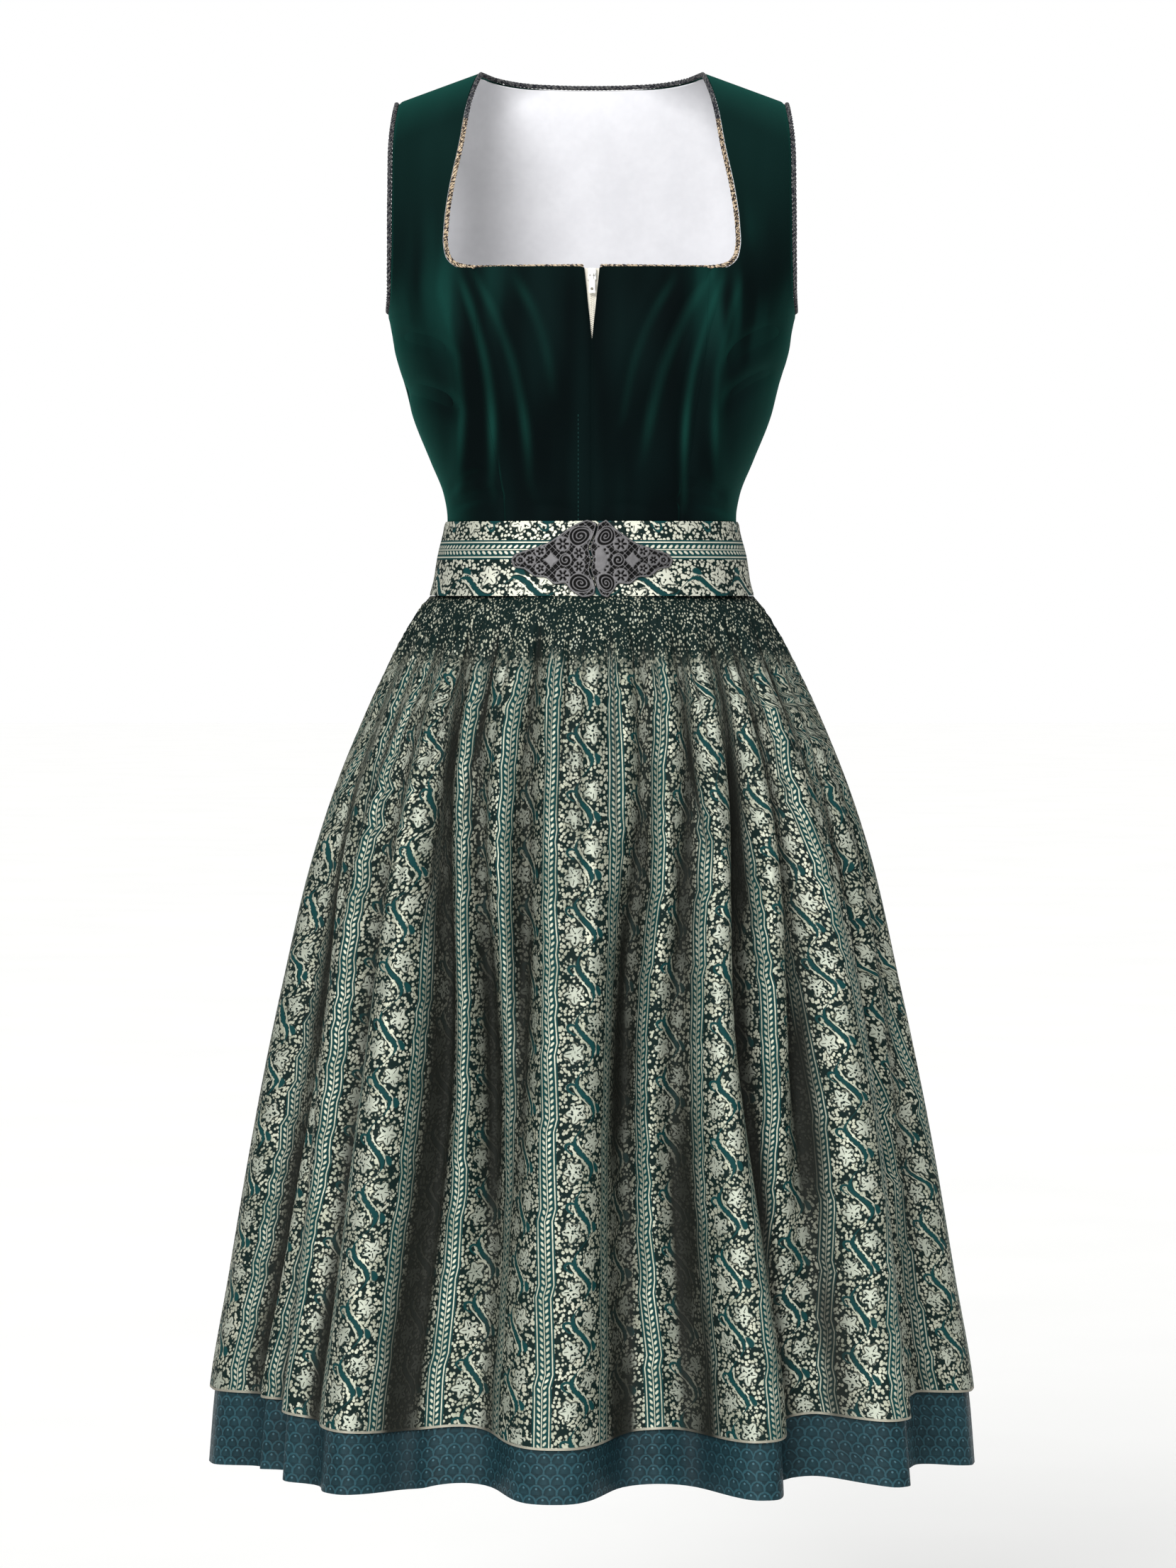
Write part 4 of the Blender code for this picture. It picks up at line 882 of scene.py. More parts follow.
def make_scale_cloth():
    """Petrol satin with the scales a little brighter than the ground."""
    made, tree, shader = new_material("skirt_jacquard", Specular_IOR_Level=0.1)
    place = flat_cloth(tree)
    motif = use_group(tree, SCALES, Place=place)
    dye = use_group(tree, UNEVEN, Place=scaled(tree, place, 1 / 30.0))["Value"]
    silk = motif["Silk"] * 0.8 + over(dye, 0.3, 0.7) * 0.25
    colour = mixed(tree, least(silk, 1.0), (0.003, 0.010, 0.013), (0.019, 0.062, 0.078))
    colour = mixed(tree, motif["Dot"] * 0.5, colour, (0.08, 0.18, 0.22))
    # Painted shade: the fold valleys are coloured darker.
    hollow_shade = attribute(tree, "hollow_shade")
    colour = mixed(tree, hollow_shade * 0.6, colour, (0.004, 0.012, 0.016))
    tree.links.new(colour, shader.inputs["Base Color"])
    tree.links.new((motif["Silk"] * -0.15 + 0.52).socket, shader.inputs["Roughness"])
    weave = use_group(tree, WEAVE, Place=place, Pitch=0.8)["Height"]
    relief = motif["Silk"] * 0.6 + motif["Dot"] * 0.2 + weave * 0.2
    tree.links.new(bumped(tree, relief, 0.3), shader.inputs["Normal"])
    return made


# %% [markdown]
# ## Velvet
# Velvet is dark where one looks down into the pile and bright where the pile leans toward
# the eye, which the shader's sheen gives; the colour is also mixed toward emerald where the
# surface is seen at a slant, which is a painted sheen. The pile also lies in patches that
# were brushed one way or the other, so a stretched noise moves the colour and the roughness.
# Painted highlights run along the creases and round the neckline's corners, and the straps
# are painted lighter as if lit from above.

# %% The velvet
def make_velvet():
    """Deep green pile with an emerald sheen, part real and part painted, and brushed patches."""
    made, tree, shader = new_material(
        "green_velvet", Specular_IOR_Level=0.01, Sheen_Weight=0.08, Sheen_Roughness=0.22,
        Sheen_Tint=(0.04, 0.62, 0.48, 1.0))
    place = object_place(tree)
    nap = noise(tree, scaled(tree, place, 40.0, 30.0, 5.0), 1.0, 1.0)
    broad = noise(tree, scaled(tree, place, 9.0, 9.0, 7.0), 1.0, 1.0)
    height = tree.nodes.new("ShaderNodeSeparateXYZ")
    tree.links.new(place, height.inputs[0])
    up = Value(tree, height.outputs["Z"])
    # Painted light: the upper part, round the straps, is coloured a lighter green as if lit from above.
    strap = over(up, -0.19, -0.05)
    beside = absolute(Value(tree, height.outputs["X"])) - 0.108
    # Painted highlight: an emerald glow round each neckline corner, broken up by the nap.
    corner = under(distance(beside, (up + 0.168) * 0.7), 0.004, 0.055) * over(nap, 0.38, 0.6) * 0.5
    brushed = over(nap * 0.5 + broad * 0.5 + strap * 0.05, 0.40, 0.72)
    # Painted sheen: the colour turns emerald where the surface is seen at a slant.
    facing = tree.nodes.new("ShaderNodeLayerWeight")
    facing.inputs["Blend"].default_value = 0.35
    glint = Value(tree, facing.outputs["Facing"])
    deep = mixed(tree, brushed, (0.0015, 0.0032, 0.0034), (0.0024, 0.0078, 0.0076))
    deep = mixed(tree, strap * 0.5, deep, (0.0040, 0.0200, 0.0170))
    colour = mixed(tree, over(glint, 0.12, 0.8) * 0.72, deep, (0.007, 0.058, 0.046))
    colour = mixed(tree, corner, colour, (0.006, 0.046, 0.037))
    # Painted highlight: thin emerald lines along the creases, from the crest mark.
    colour = mixed(tree, attribute(tree, "crest") * 0.34, colour, (0.012, 0.095, 0.074))
    tree.links.new(colour, shader.inputs["Base Color"])
    tree.links.new((brushed * -0.1 + 0.72).socket, shader.inputs["Roughness"])
    pile = noise(tree, scaled(tree, place, 1500.0, 1500.0, 700.0), 1.0, 2.0)
    tree.links.new(bumped(tree, pile, 0.25, 0.6), shader.inputs["Normal"])
    return made


# %% The plain finishes
def make_lining():
    """White cotton with a faint plain weave."""
    made, tree, shader = new_material("white_lining", Specular_IOR_Level=0.3, Sheen_Weight=0.2)
    place = flat_cloth(tree)
    dye = use_group(tree, UNEVEN, Place=scaled(tree, place, 1 / 40.0))["Value"]
    colour = mixed(tree, over(dye, 0.3, 0.7), (0.66, 0.66, 0.69), (0.72, 0.72, 0.75))
    tree.links.new(colour, shader.inputs["Base Color"])
    shader.inputs["Roughness"].default_value = 0.85
    weave = use_group(tree, WEAVE, Place=place, Pitch=0.7)["Height"]
    tree.links.new(bumped(tree, weave, 0.12, 0.7), shader.inputs["Normal"])
    return made


def make_tape_cloth():
    """Cream zip tape."""
    made, tree, shader = new_material("zip_tape_cloth", Specular_IOR_Level=0.35)
    place = flat_cloth(tree)
    weave = use_group(tree, WEAVE, Place=place, Pitch=0.6)["Height"]
    colour = mixed(tree, weave, (0.56, 0.53, 0.45), (0.80, 0.77, 0.68))
    tree.links.new(colour, shader.inputs["Base Color"])
    shader.inputs["Roughness"].default_value = 0.7
    tree.links.new(bumped(tree, weave, 0.12), shader.inputs["Normal"])
    return made


def make_braid(name, light, mid, dark):
    """Twisted yarn: three shades of thread along each strand, and dark flecks."""
    made, tree, shader = new_material(name, Specular_IOR_Level=0.12, Sheen_Weight=0.03)
    place = flat_cloth(tree)
    threads = noise(tree, scaled(tree, place, 0.55, 1.6), 1.0, 3.0)
    flecks = noise(tree, scaled(tree, place, 0.35, 0.5), 1.3, 2.0)
    colour = mixed(tree, over(threads, 0.35, 0.65), mid, light)
    colour = mixed(tree, over(flecks, 0.47, 0.53), colour, dark)
    tree.links.new(colour, shader.inputs["Base Color"])
    shader.inputs["Roughness"].default_value = 0.75
    _, around = split(tree, place)
    along, _ = split(tree, place)
    ply = sine(around * 2.0 + along * 2.2) * 0.5 + 0.5
    tree.links.new(bumped(tree, ply, 0.25), shader.inputs["Normal"])
    return made


def make_metal(name, colour, worn, roughness, metallic, shine, hollow_shade_colour=None):
    """Metal or enamel with a fine uneven finish, and painted shade in the hollows where it has relief."""
    made, tree, shader = new_material(name, Metallic=metallic, Specular_IOR_Level=shine)
    place = object_place(tree)
    wear = use_group(tree, UNEVEN, Place=scaled(tree, place, 260.0))["Value"]
    tint = mixed(tree, over(wear, 0.35, 0.65), colour, worn)
    # Painted shade: the hollows of the relief are coloured toward near-black.
    if hollow_shade_colour:
        tint = mixed(tree, attribute(tree, "hollow_shade"), tint, hollow_shade_colour)
    tree.links.new(tint, shader.inputs["Base Color"])
    tree.links.new((wear * 0.2 + (roughness - 0.1)).socket, shader.inputs["Roughness"])
    grain = noise(tree, scaled(tree, place, 900.0), 1.0, 3.0)
    tree.links.new(bumped(tree, grain, 0.06, 0.5), shader.inputs["Normal"])
    return made


def make_stitching():
    """Dark green sewing thread."""
    made, tree, shader = new_material("sewing_thread", Specular_IOR_Level=0.1)
    thread = noise(tree, scaled(tree, object_place(tree), 900.0), 1.0, 1.0)
    colour = mixed(tree, thread, (0.004, 0.020, 0.019), (0.010, 0.045, 0.042))
    tree.links.new(colour, shader.inputs["Base Color"])
    shader.inputs["Roughness"].default_value = 0.5
    return made


JACQUARD, SCALE_CLOTH, VELVET_PILE = make_jacquard(), make_scale_cloth(), make_velvet()
LINING_CLOTH, TAPE_CLOTH, THREAD = make_lining(), make_tape_cloth(), make_stitching()
FRONT_BRAID = make_braid("front_braid", (0.60, 0.49, 0.36), (0.34, 0.25, 0.15), (0.02, 0.015, 0.015))
DARK_BRAID = make_braid("dark_braid", (0.020, 0.022, 0.030), (0.005, 0.006, 0.010), (0.09, 0.09, 0.09))
# Pewter's last colour is the painted shade in its openings.
PEWTER = make_metal("pewter", (0.088, 0.086, 0.088), (0.125, 0.122, 0.125), 0.55, 0.7, 0.15,
                    (0.003, 0.003, 0.003))
ENAMEL = make_metal("white_enamel", (0.74, 0.74, 0.72), (0.62, 0.62, 0.60), 0.35, 0.0, 0.5)
print("finishes:", len(bpy.data.materials), "groups:", len(bpy.data.node_groups))

# %% [markdown]
# ## The camera, the floor and the light
# The photograph was taken from about 4.7 m with a long lens, a little above the middle of
# the dress. The floor lies where a wearer would stand, below the hem. Far soft lamps stand
# in for a studio's panels: one beside the camera draws out the folds, one fills in, and one
# from above keeps the floor pale.

# %% The camera
CAMERA_AT = (-0.003, -4.7, -0.40)
CAMERA_AIM = (-0.003, 0.0, -0.555)
LENS = 137.8
FLOOR_Z = -1.42
AMBIENT = 0.26
LAMPS = (
    ("key", (-0.30, -1.0, 0.42), 28.0, 3.4),
    ("fill", (0.60, -1.0, 0.45), 50.0, 0.6),
    ("top", (0.1, 0.1, 1.0), 60.0, 1.4),
)


def look_from(obj, place, aim):
    """Turns an object at a place so that its -Z points at the aim."""
    from_aim = np.array(place) - np.array(aim)
    level = math.hypot(from_aim[0], from_aim[1])
    obj.location = place
    obj.rotation_euler = (math.atan2(level, from_aim[2]), 0.0,
                          math.atan2(from_aim[0], -from_aim[1]))


camera = bpy.data.objects.new("camera", bpy.data.cameras.new("camera"))
camera.data.lens = LENS
camera.data.clip_end = 100.0
look_from(camera, CAMERA_AT, CAMERA_AIM)
bpy.context.scene.collection.objects.link(camera)
bpy.context.scene.camera = camera

# %% The floor and the lamps
floor_paint, floor_tree, floor_shader = new_material("pale_floor", Roughness=0.9)
speckle = noise(floor_tree, scaled(floor_tree, object_place(floor_tree), 3.0), 1.0, 2.0)
floor_tree.links.new(mixed(floor_tree, speckle, (0.86, 0.86, 0.85), (0.90, 0.90, 0.89)),
                     floor_shader.inputs["Base Color"])
reach = 40000.0
corners = np.array([[-reach, -reach, 0], [reach, -reach, 0], [reach, reach, 0], [-reach, reach, 0]])
floor = add_piece("floor", corners + [0.0, 0.0, FLOOR_Z / MM], np.array([[0, 1, 2, 3]]), floor_paint)

world = bpy.data.worlds.new("studio")
bpy.context.scene.world = world
world.use_nodes = True
backdrop = world.node_tree.nodes["Background"]
seen = world.node_tree.nodes.new("ShaderNodeLightPath")
bright = world.node_tree.nodes.new("ShaderNodeMapRange")
bright.inputs["To Min"].default_value = AMBIENT
bright.inputs["To Max"].default_value = 1.0
world.node_tree.links.new(seen.outputs["Is Camera Ray"], bright.inputs["Value"])
world.node_tree.links.new(bright.outputs["Result"], backdrop.inputs["Strength"])
backdrop.inputs["Color"].default_value = (1.0, 1.0, 1.0, 1.0)
for name, place, angle, power in LAMPS:
    lamp = bpy.data.lights.new(name, "SUN")
    lamp.angle, lamp.energy = math.radians(angle), power
    holder = bpy.data.objects.new(name, lamp)
    look_from(holder, place, (0.0, 0.0, 0.0))
    bpy.context.scene.collection.objects.link(holder)
bpy.context.scene.view_settings.view_transform = "Standard"
print("camera at", CAMERA_AT, "with", len(LAMPS), "lamps")


# %% [markdown]
# ## The bodice's grids
# The front half runs from the zip to the side seam, and its rows carry on up the strap.
# Columns lie closer together toward the seams, by a cosine, because the cloth rolls into a
# seam over a few millimetres. Above the level rows, a row keeps a set depth below the
# shoulder's ridge, so a row's height and width depend on each other and a few rounds of
# working one out from the other settle them.

# %% The fine grids of the bodice
CENTRE_CELLS = 52
SIDE_CELLS = 54
CORNER_CELL = 18
LOW_ROWS = 100
BACK_SIDE_CELLS = 30
BACK_CENTRE_CELLS = 44


def dense_ends(cells):
    """0.5 - 0.5 cos(pi t): steps from 0 to 1 that are short at both ends."""
    return 0.5 - 0.5 * np.cos(math.pi * np.linspace(0.0, 1.0, cells + 1))


def rising(levels, last_depth, top, low_edge, high_edge, across, side, rounds=14):
    """Rows over a shoulder: level ones, a gradual change, and ones along the top edge."""
    angle = np.linspace(math.acos(1 - last_depth / SHOULDER_ROUND), 0.0, rounds)
    follow = np.concatenate([np.zeros(len(levels)), np.linspace(0, 1, 9)[1:-1], np.ones(rounds)])
    level = np.concatenate([levels, np.full(len(follow) - len(levels), levels[-1])])[:, None]
    below = np.full(len(follow), last_depth)
    below[-rounds:] = SHOULDER_ROUND * (1 - np.cos(angle))
    follow, below = follow[:, None], below[:, None]
    z = (1 - follow) * level - 40.0 * follow + 0.0 * across
    for _ in range(8):
        x = low_edge(z) + (high_edge(z) - low_edge(z)) * across
        z = (1 - follow) * level + follow * (top(x) - below)
    return torso_point(x, z, side)


def front_grid():
    """The wearer's left half of the front: points, normals and cells."""
    z = np.linspace(WAIST_Z, NECK_FRONT_Z, LOW_ROWS)[:, None]
    start = np.interp(z, *zip(*ZIP_GAP))
    seam = curve(FRONT_SEAM, z)
    centre = torso_point(start + (seam - start) * dense_ends(CENTRE_CELLS), z, -1)
    share = dense_ends(SIDE_CELLS)
    first = turn_at(seam, z, -1)
    arm = np.where(z > ARMHOLE_BOTTOM + 0.01, turn_at(armhole_x(z), z, -1), math.pi / 2)
    corner = turn_at(NECK_CORNER_X + 0.0 * z, z, -1)
    cut = share[CORNER_CELL]
    bent = np.where(share < cut, first + (corner - first) * share / cut,
                    corner + (arm - corner) * (share - cut) / (1 - cut))
    near = smooth(-205.0, NECK_FRONT_Z, z)
    turn = (1 - near) * (first + (arm - first) * share) + near * bent
    lower = np.concatenate([centre, torso_turn(turn, z)[:, 1:]], 1)
    across = (share[CORNER_CELL:] - cut) / (1 - cut)
    levels = np.concatenate([[-154.6, -153.4, -152.0, -150.0], np.linspace(-147.5, -95.0, 15)])
    strap = rising(levels, SHOULDER_ROUND, ridge, neck_side, armhole_x, across, -1)
    absent = CENTRE_CELLS + CORNER_CELL
    steps = np.arange(-absent, 0)[:, None] * np.array([3.0, 0.0, 0.0])
    upper = np.concatenate([strap[:, :1] + steps, strap], 1)
    grid = np.concatenate([lower, upper])
    normal = grid_normals(grid)
    normal[grid[:, -1, 2] < ARMHOLE_BOTTOM + 1, -1, 1] = 0.0
    normal[-1, :, 1] = 0.0
    present = np.ones((len(grid) - 1, grid.shape[1] - 1), bool)
    present[LOW_ROWS - 1 :, :absent] = False
    return grid, unit(normal), present


def back_grid():
    """The whole back, from the wearer's left side round to the right one."""
    z = np.linspace(WAIST_Z, ARMHOLE_BOTTOM, 50)[:, None]
    share = dense_ends(BACK_SIDE_CELLS)
    middle = dense_ends(BACK_CENTRE_CELLS)
    seam = curve(BACK_SEAM, z)
    turn = math.pi / 2 + (turn_at(seam, z, 1) - math.pi / 2) * share
    levels = np.linspace(-186.0, -75.0, 26)

    def back_seam(height):
        return curve(BACK_SEAM, height)

    def other_seam(height):
        return -curve(BACK_SEAM, height)

    depth = SHOULDER_ROUND * (1 - math.cos(math.radians(66.0)))
    side_up = rising(levels, depth, back_top, armhole_x, back_seam, share, 1)
    centre_up = rising(levels, depth, back_top, back_seam, other_seam, middle, 1)
    side = np.concatenate([torso_turn(turn, z), side_up])
    centre = np.concatenate([torso_point(seam - 2 * seam * middle, z, 1), centre_up])
    mirrored = side[:, ::-1] * np.array([-1.0, 1.0, 1.0])
    grid = np.concatenate([side, centre[:, 1:-1], mirrored], 1)
    normal = grid_normals(grid)
    normal[:50, [0, -1], 1] = 0.0
    normal[-1, np.abs(grid[-1, :, 0]) >= NECK_POINT_X, 1] = 0.0
    return grid, unit(normal)


FRONT, FRONT_NORMAL, FRONT_CELLS = front_grid()
BACK, BACK_NORMAL = back_grid()
print("front half grid", FRONT.shape[:2], "and back grid", BACK.shape[:2])

# %% [markdown]
# ## The bodice's creases and seams
# Velvet is stiff, so it shows few creases: soft ones run down from the neckline's corners
# and round the bust, and short drag lines gather above the waist band. Each is a bell
# curve across a listed line. Cloth also rolls in at a seam, by about a
# millimetre, and the two edges lap by a fifth of one so that no light comes through.

# %% Crease lines
CREASE_COLUMNS = ("x1", "z1", "x2", "z2", "wide", "high")
LEFT_CREASES = (
    (100.0, -165.0, 72.0, -335.0, 7.0, -1.5), (92.0, -160.0, 40.0, -300.0, 9.0, -1.3),
    (112.0, -170.0, 96.0, -320.0, 7.0, 1.2), (62.0, -165.0, 24.0, -270.0, 8.0, -0.9),
    (150.0, -200.0, 92.0, -238.0, 8.0, -1.3), (146.0, -232.0, 98.0, -262.0, 7.0, -0.9),
    (110.0, -344.0, 60.0, -334.0, 4.5, -0.9), (104.0, -332.0, 70.0, -320.0, 4.5, -0.8),
    (52.0, -346.0, 14.0, -338.0, 4.0, -0.6),
)
RIGHT_CREASES = (
    (102.0, -163.0, 78.0, -322.0, 8.0, -1.6), (90.0, -160.0, 48.0, -318.0, 8.0, -1.2),
    (116.0, -172.0, 104.0, -330.0, 7.0, 1.1), (58.0, -164.0, 30.0, -250.0, 9.0, -1.0),
    (152.0, -206.0, 96.0, -228.0, 7.0, -1.1), (148.0, -246.0, 92.0, -270.0, 8.0, -1.1),
    (108.0, -338.0, 66.0, -330.0, 4.5, -0.9), (112.0, -326.0, 82.0, -312.0, 4.0, -0.7),
    (48.0, -340.0, 10.0, -344.0, 4.0, -0.6),
)
BACK_CREASES = (
    (150.0, -200.0, 90.0, -236.0, 8.0, -1.3), (-148.0, -212.0, -84.0, -246.0, 8.0, -1.2),
    (120.0, -60.0, 104.0, -170.0, 9.0, -1.0), (-124.0, -52.0, -100.0, -160.0, 9.0, -1.1),
    (40.0, -30.0, 20.0, -150.0, 11.0, -0.8), (-30.0, -34.0, -22.0, -170.0, 12.0, -0.9),
    (100.0, -344.0, 40.0, -334.0, 5.0, -1.0), (-96.0, -338.0, -36.0, -344.0, 5.0, -1.0),
    (90.0, -326.0, 50.0, -318.0, 4.5, -0.7), (-104.0, -330.0, -60.0, -316.0, 4.5, -0.8),
    (10.0, -346.0, -30.0, -336.0, 4.5, -0.7),
)
CREASE_MORE = 2.6
# The creases' painted highlight lines are narrower than the creases and weaker the more they lean.
CREST_NARROW = 0.42
CREST_UPRIGHT = 8.0
SEAM_DEEP = 1.0
SEAM_WIDE = 1.7
SEAM_LAP = 0.2


def creases(grid, table, narrow=1.0, upright=0.0):
    """For each line: high * exp(-(distance / wide) ^ 2), faded past the line's ends and,
    where upright isn't 0, weaker the more the line leans."""
    x, z = grid[..., 0], grid[..., 2]
    total = np.zeros(x.shape)
    for row in table:
        line = dict(zip(CREASE_COLUMNS, row))
        dx, dz = line["x2"] - line["x1"], line["z2"] - line["z1"]
        long = math.hypot(dx, dz)
        along = ((x - line["x1"]) * dx + (z - line["z1"]) * dz) / long
        across = ((x - line["x1"]) * dz - (z - line["z1"]) * dx) / long
        bow = 0.06 * long * np.sin(math.pi * np.clip(along / long, 0, 1))
        ends = smooth(-0.12 * long, 0.2 * long, along) * smooth(1.15 * long, 0.7 * long, along)
        lean = (abs(dz) / long) ** upright
        total += lean * line["high"] * ends * np.exp(-(((across - bow) / (narrow * line["wide"])) ** 2))
    return total


def edge_roll(part):
    """How deep the cloth rolls in toward a panel's first and last columns."""
    steps = np.linalg.norm(np.diff(part, axis=1), axis=-1)
    start = np.concatenate([np.zeros((len(part), 1)), np.cumsum(steps, 1)], 1)
    near = np.minimum(start, start[:, -1:] - start)
    return SEAM_DEEP * np.exp(-((near / SEAM_WIDE) ** 2))


def velvet_panel(name, grid, normal, columns, flip=False, present=None, table=()):
    """One cut panel: some columns of a grid, creased, rolled in at its seams."""
    first, last = columns
    part, facing = grid[:, first : last + 1], normal[:, first : last + 1]
    if present is not None:
        present = present[:, first:last]
        rows = int(present.any(1).sum())
        part, facing, present = part[: rows + 1], facing[: rows + 1], present[:rows]
    fade = smooth(BAND_TOP - 2.0, BAND_TOP + 14.0, part[..., 2])
    raised = CREASE_MORE * creases(part, table) * fade - edge_roll(part)
    # crest is a painted highlight: thin lines along the creases where the velvet is coloured emerald.
    crest = np.abs(creases(part, table, CREST_NARROW, CREST_UPRIGHT)) * fade / 1.6
    crest = np.minimum(crest * (0.65 + 0.35 * uneven(part[..., 2] / 26.0, 0.4)), 1.0)
    side = np.array([-1.0 if flip else 1.0, 1.0, 1.0])
    outer = part + raised[..., None] * facing
    for column, inward in ((0, 1), (-1, -2)):
        outer[:, column] -= SEAM_LAP / 2 * unit(part[:, inward] - part[:, column])
    inner = part - VELVET * facing
    inner[:, [0, -1]] = (outer - (VELVET - SEAM_DEEP) * facing)[:, [0, -1]]
    outer, inner = outer * side, inner * side
    if flip:
        outer, inner, crest = outer[:, ::-1], inner[:, ::-1], crest[:, ::-1]
        present = None if present is None else present[:, ::-1]
    piece = cloth(f"velvet_{name}", outer, VELVET, VELVET_PILE, f"bodice_{name}",
                  present=present, inner=inner, marks={"crest": crest})
    shown = surface_area(outer, present)
    flat = (lengths(outer, 1).max() * 1.03 * MM, lengths(outer, 0).max() * 1.03 * MM)
    if present is not None:
        inside = np.pad(present, ((0, 1), (0, 1))) | np.pad(present, ((1, 0), (1, 0)))
        steps = np.linalg.norm(np.diff(outer, axis=1), axis=-1) * (inside[:, :-1] & inside[:, 1:])
        flat = (max(steps.sum(1).max(), 1.0) * 1.06 * MM, flat[1])
    min(shown * MM * MM, flat[0] * flat[1])
    return piece


# %% The velvet panels
front_last = FRONT.shape[1] - 1
for side, flip, table in (("left", False, LEFT_CREASES), ("right", True, RIGHT_CREASES)):
    velvet_panel(f"front_{side}", FRONT, FRONT_NORMAL, (0, CENTRE_CELLS), flip, FRONT_CELLS, table)
    velvet_panel(f"side_front_{side}", FRONT, FRONT_NORMAL, (CENTRE_CELLS, front_last), flip,
                 FRONT_CELLS, table)
back_last = BACK.shape[1] - 1
for name, columns in (
    ("side_back_left", (0, BACK_SIDE_CELLS)),
    ("back_centre", (BACK_SIDE_CELLS, back_last - BACK_SIDE_CELLS)),
    ("side_back_right", (back_last - BACK_SIDE_CELLS, back_last)),
):
    velvet_panel(name, BACK, BACK_NORMAL, columns, table=BACK_CREASES)

# %% [markdown]
# ## The lining
# Through the neckline one sees the white lining of the back. It lies a velvet's thickness
# inside the back panels, so it is the same grid moved in.

# %% The back lining
depth = VELVET + 3.1 * SEAM_GAP
lining_outer = (BACK - depth * BACK_NORMAL)[3:, 3:-3]
lining_normal = BACK_NORMAL[3:, 3:-3]
wrinkle = 0.35 * uneven(lining_outer[..., 0] / 9.0 + uneven(lining_outer[..., 2] / 25.0, 1.0), 0.3)
lining_inner = lining_outer - (LINING + 0.35 + wrinkle)[..., None] * lining_normal
lining = cloth("white_back_lining", lining_outer, LINING, LINING_CLOTH, "back_lining",
               inner=lining_inner)
surface_area(lining_outer) * MM * MM


# %% [markdown]
# ## The braid
# The edge is trimmed with a cord of three yarns twisted together. Each yarn is a tube
# whose middle winds round the edge's own path, like a spring, once in each 10 mm.

# %% A twisted cord along a path
YARN_RADIUS = 0.95
YARN_OUT = 1.0
YARN_TURN = 10.0
YARN_SIDES = 8


def even_path(path, step, closed=False):
    """The path resampled at even steps along its length."""
    if closed:
        path = np.concatenate([path, path[:1]])
    at = np.concatenate([[0.0], np.cumsum(np.linalg.norm(np.diff(path, axis=0), axis=1))])
    count = max(int(round(at[-1] / step)), 2)
    where = np.linspace(0.0, at[-1], count + 1)
    made = np.stack([np.interp(where, at, path[:, k]) for k in range(3)], -1)
    for _ in range(3):
        if closed:
            made = made[:-1]
            made = (np.roll(made, 1, 0) + 2 * made + np.roll(made, -1, 0)) / 4
            made = np.concatenate([made, made[:1]])
        else:
            made[1:-1] = (made[:-2] + 2 * made[1:-1] + made[2:]) / 4
    return made[:-1] if closed else made


def tube_points(path, radius, sides, closed=False, taper=False):
    """path + radius * (cos * first + sin * second), with two steady side directions."""
    along = np.roll(path, -1, 0) - np.roll(path, 1, 0) if closed else np.gradient(path, axis=0)
    along = unit(along)
    first = unit(np.cross(along, np.array([0.31, 0.22, 0.93])))
    second = np.cross(along, first)
    turns = math.tau * np.arange(sides) / sides
    ring = np.cos(turns)[:, None] * first[:, None] + np.sin(turns)[:, None] * second[:, None]
    size = np.full(len(path), radius)
    if taper:
        ends = np.minimum(np.arange(len(path)), np.arange(len(path))[::-1])
        size = radius * np.sqrt(np.clip(1 - (1 - np.minimum(ends / 2.0, 1.0)) ** 2, 0.02, 1.0))
    return path[:, None] + size[:, None, None] * ring, first, second


def tube_faces(count, sides, closed, start=0):
    """Quads round a tube, with the flat place of each corner along and round it."""
    number = np.arange(count * sides).reshape(count, sides)
    number = np.concatenate([number, number[:, :1]], 1)
    spot = np.arange((count + 1) * (sides + 1)).reshape(count + 1, sides + 1)
    if closed:
        number = np.concatenate([number, number[:1]])
    else:
        spot = spot[:-1]
    faces, spots = (
        np.stack([grid[:-1, :-1], grid[:-1, 1:], grid[1:, 1:], grid[1:, :-1]], -1).reshape(-1, 4)
        for grid in (number, spot)
    )
    return faces[:, ::-1] + start, spots[:, ::-1]


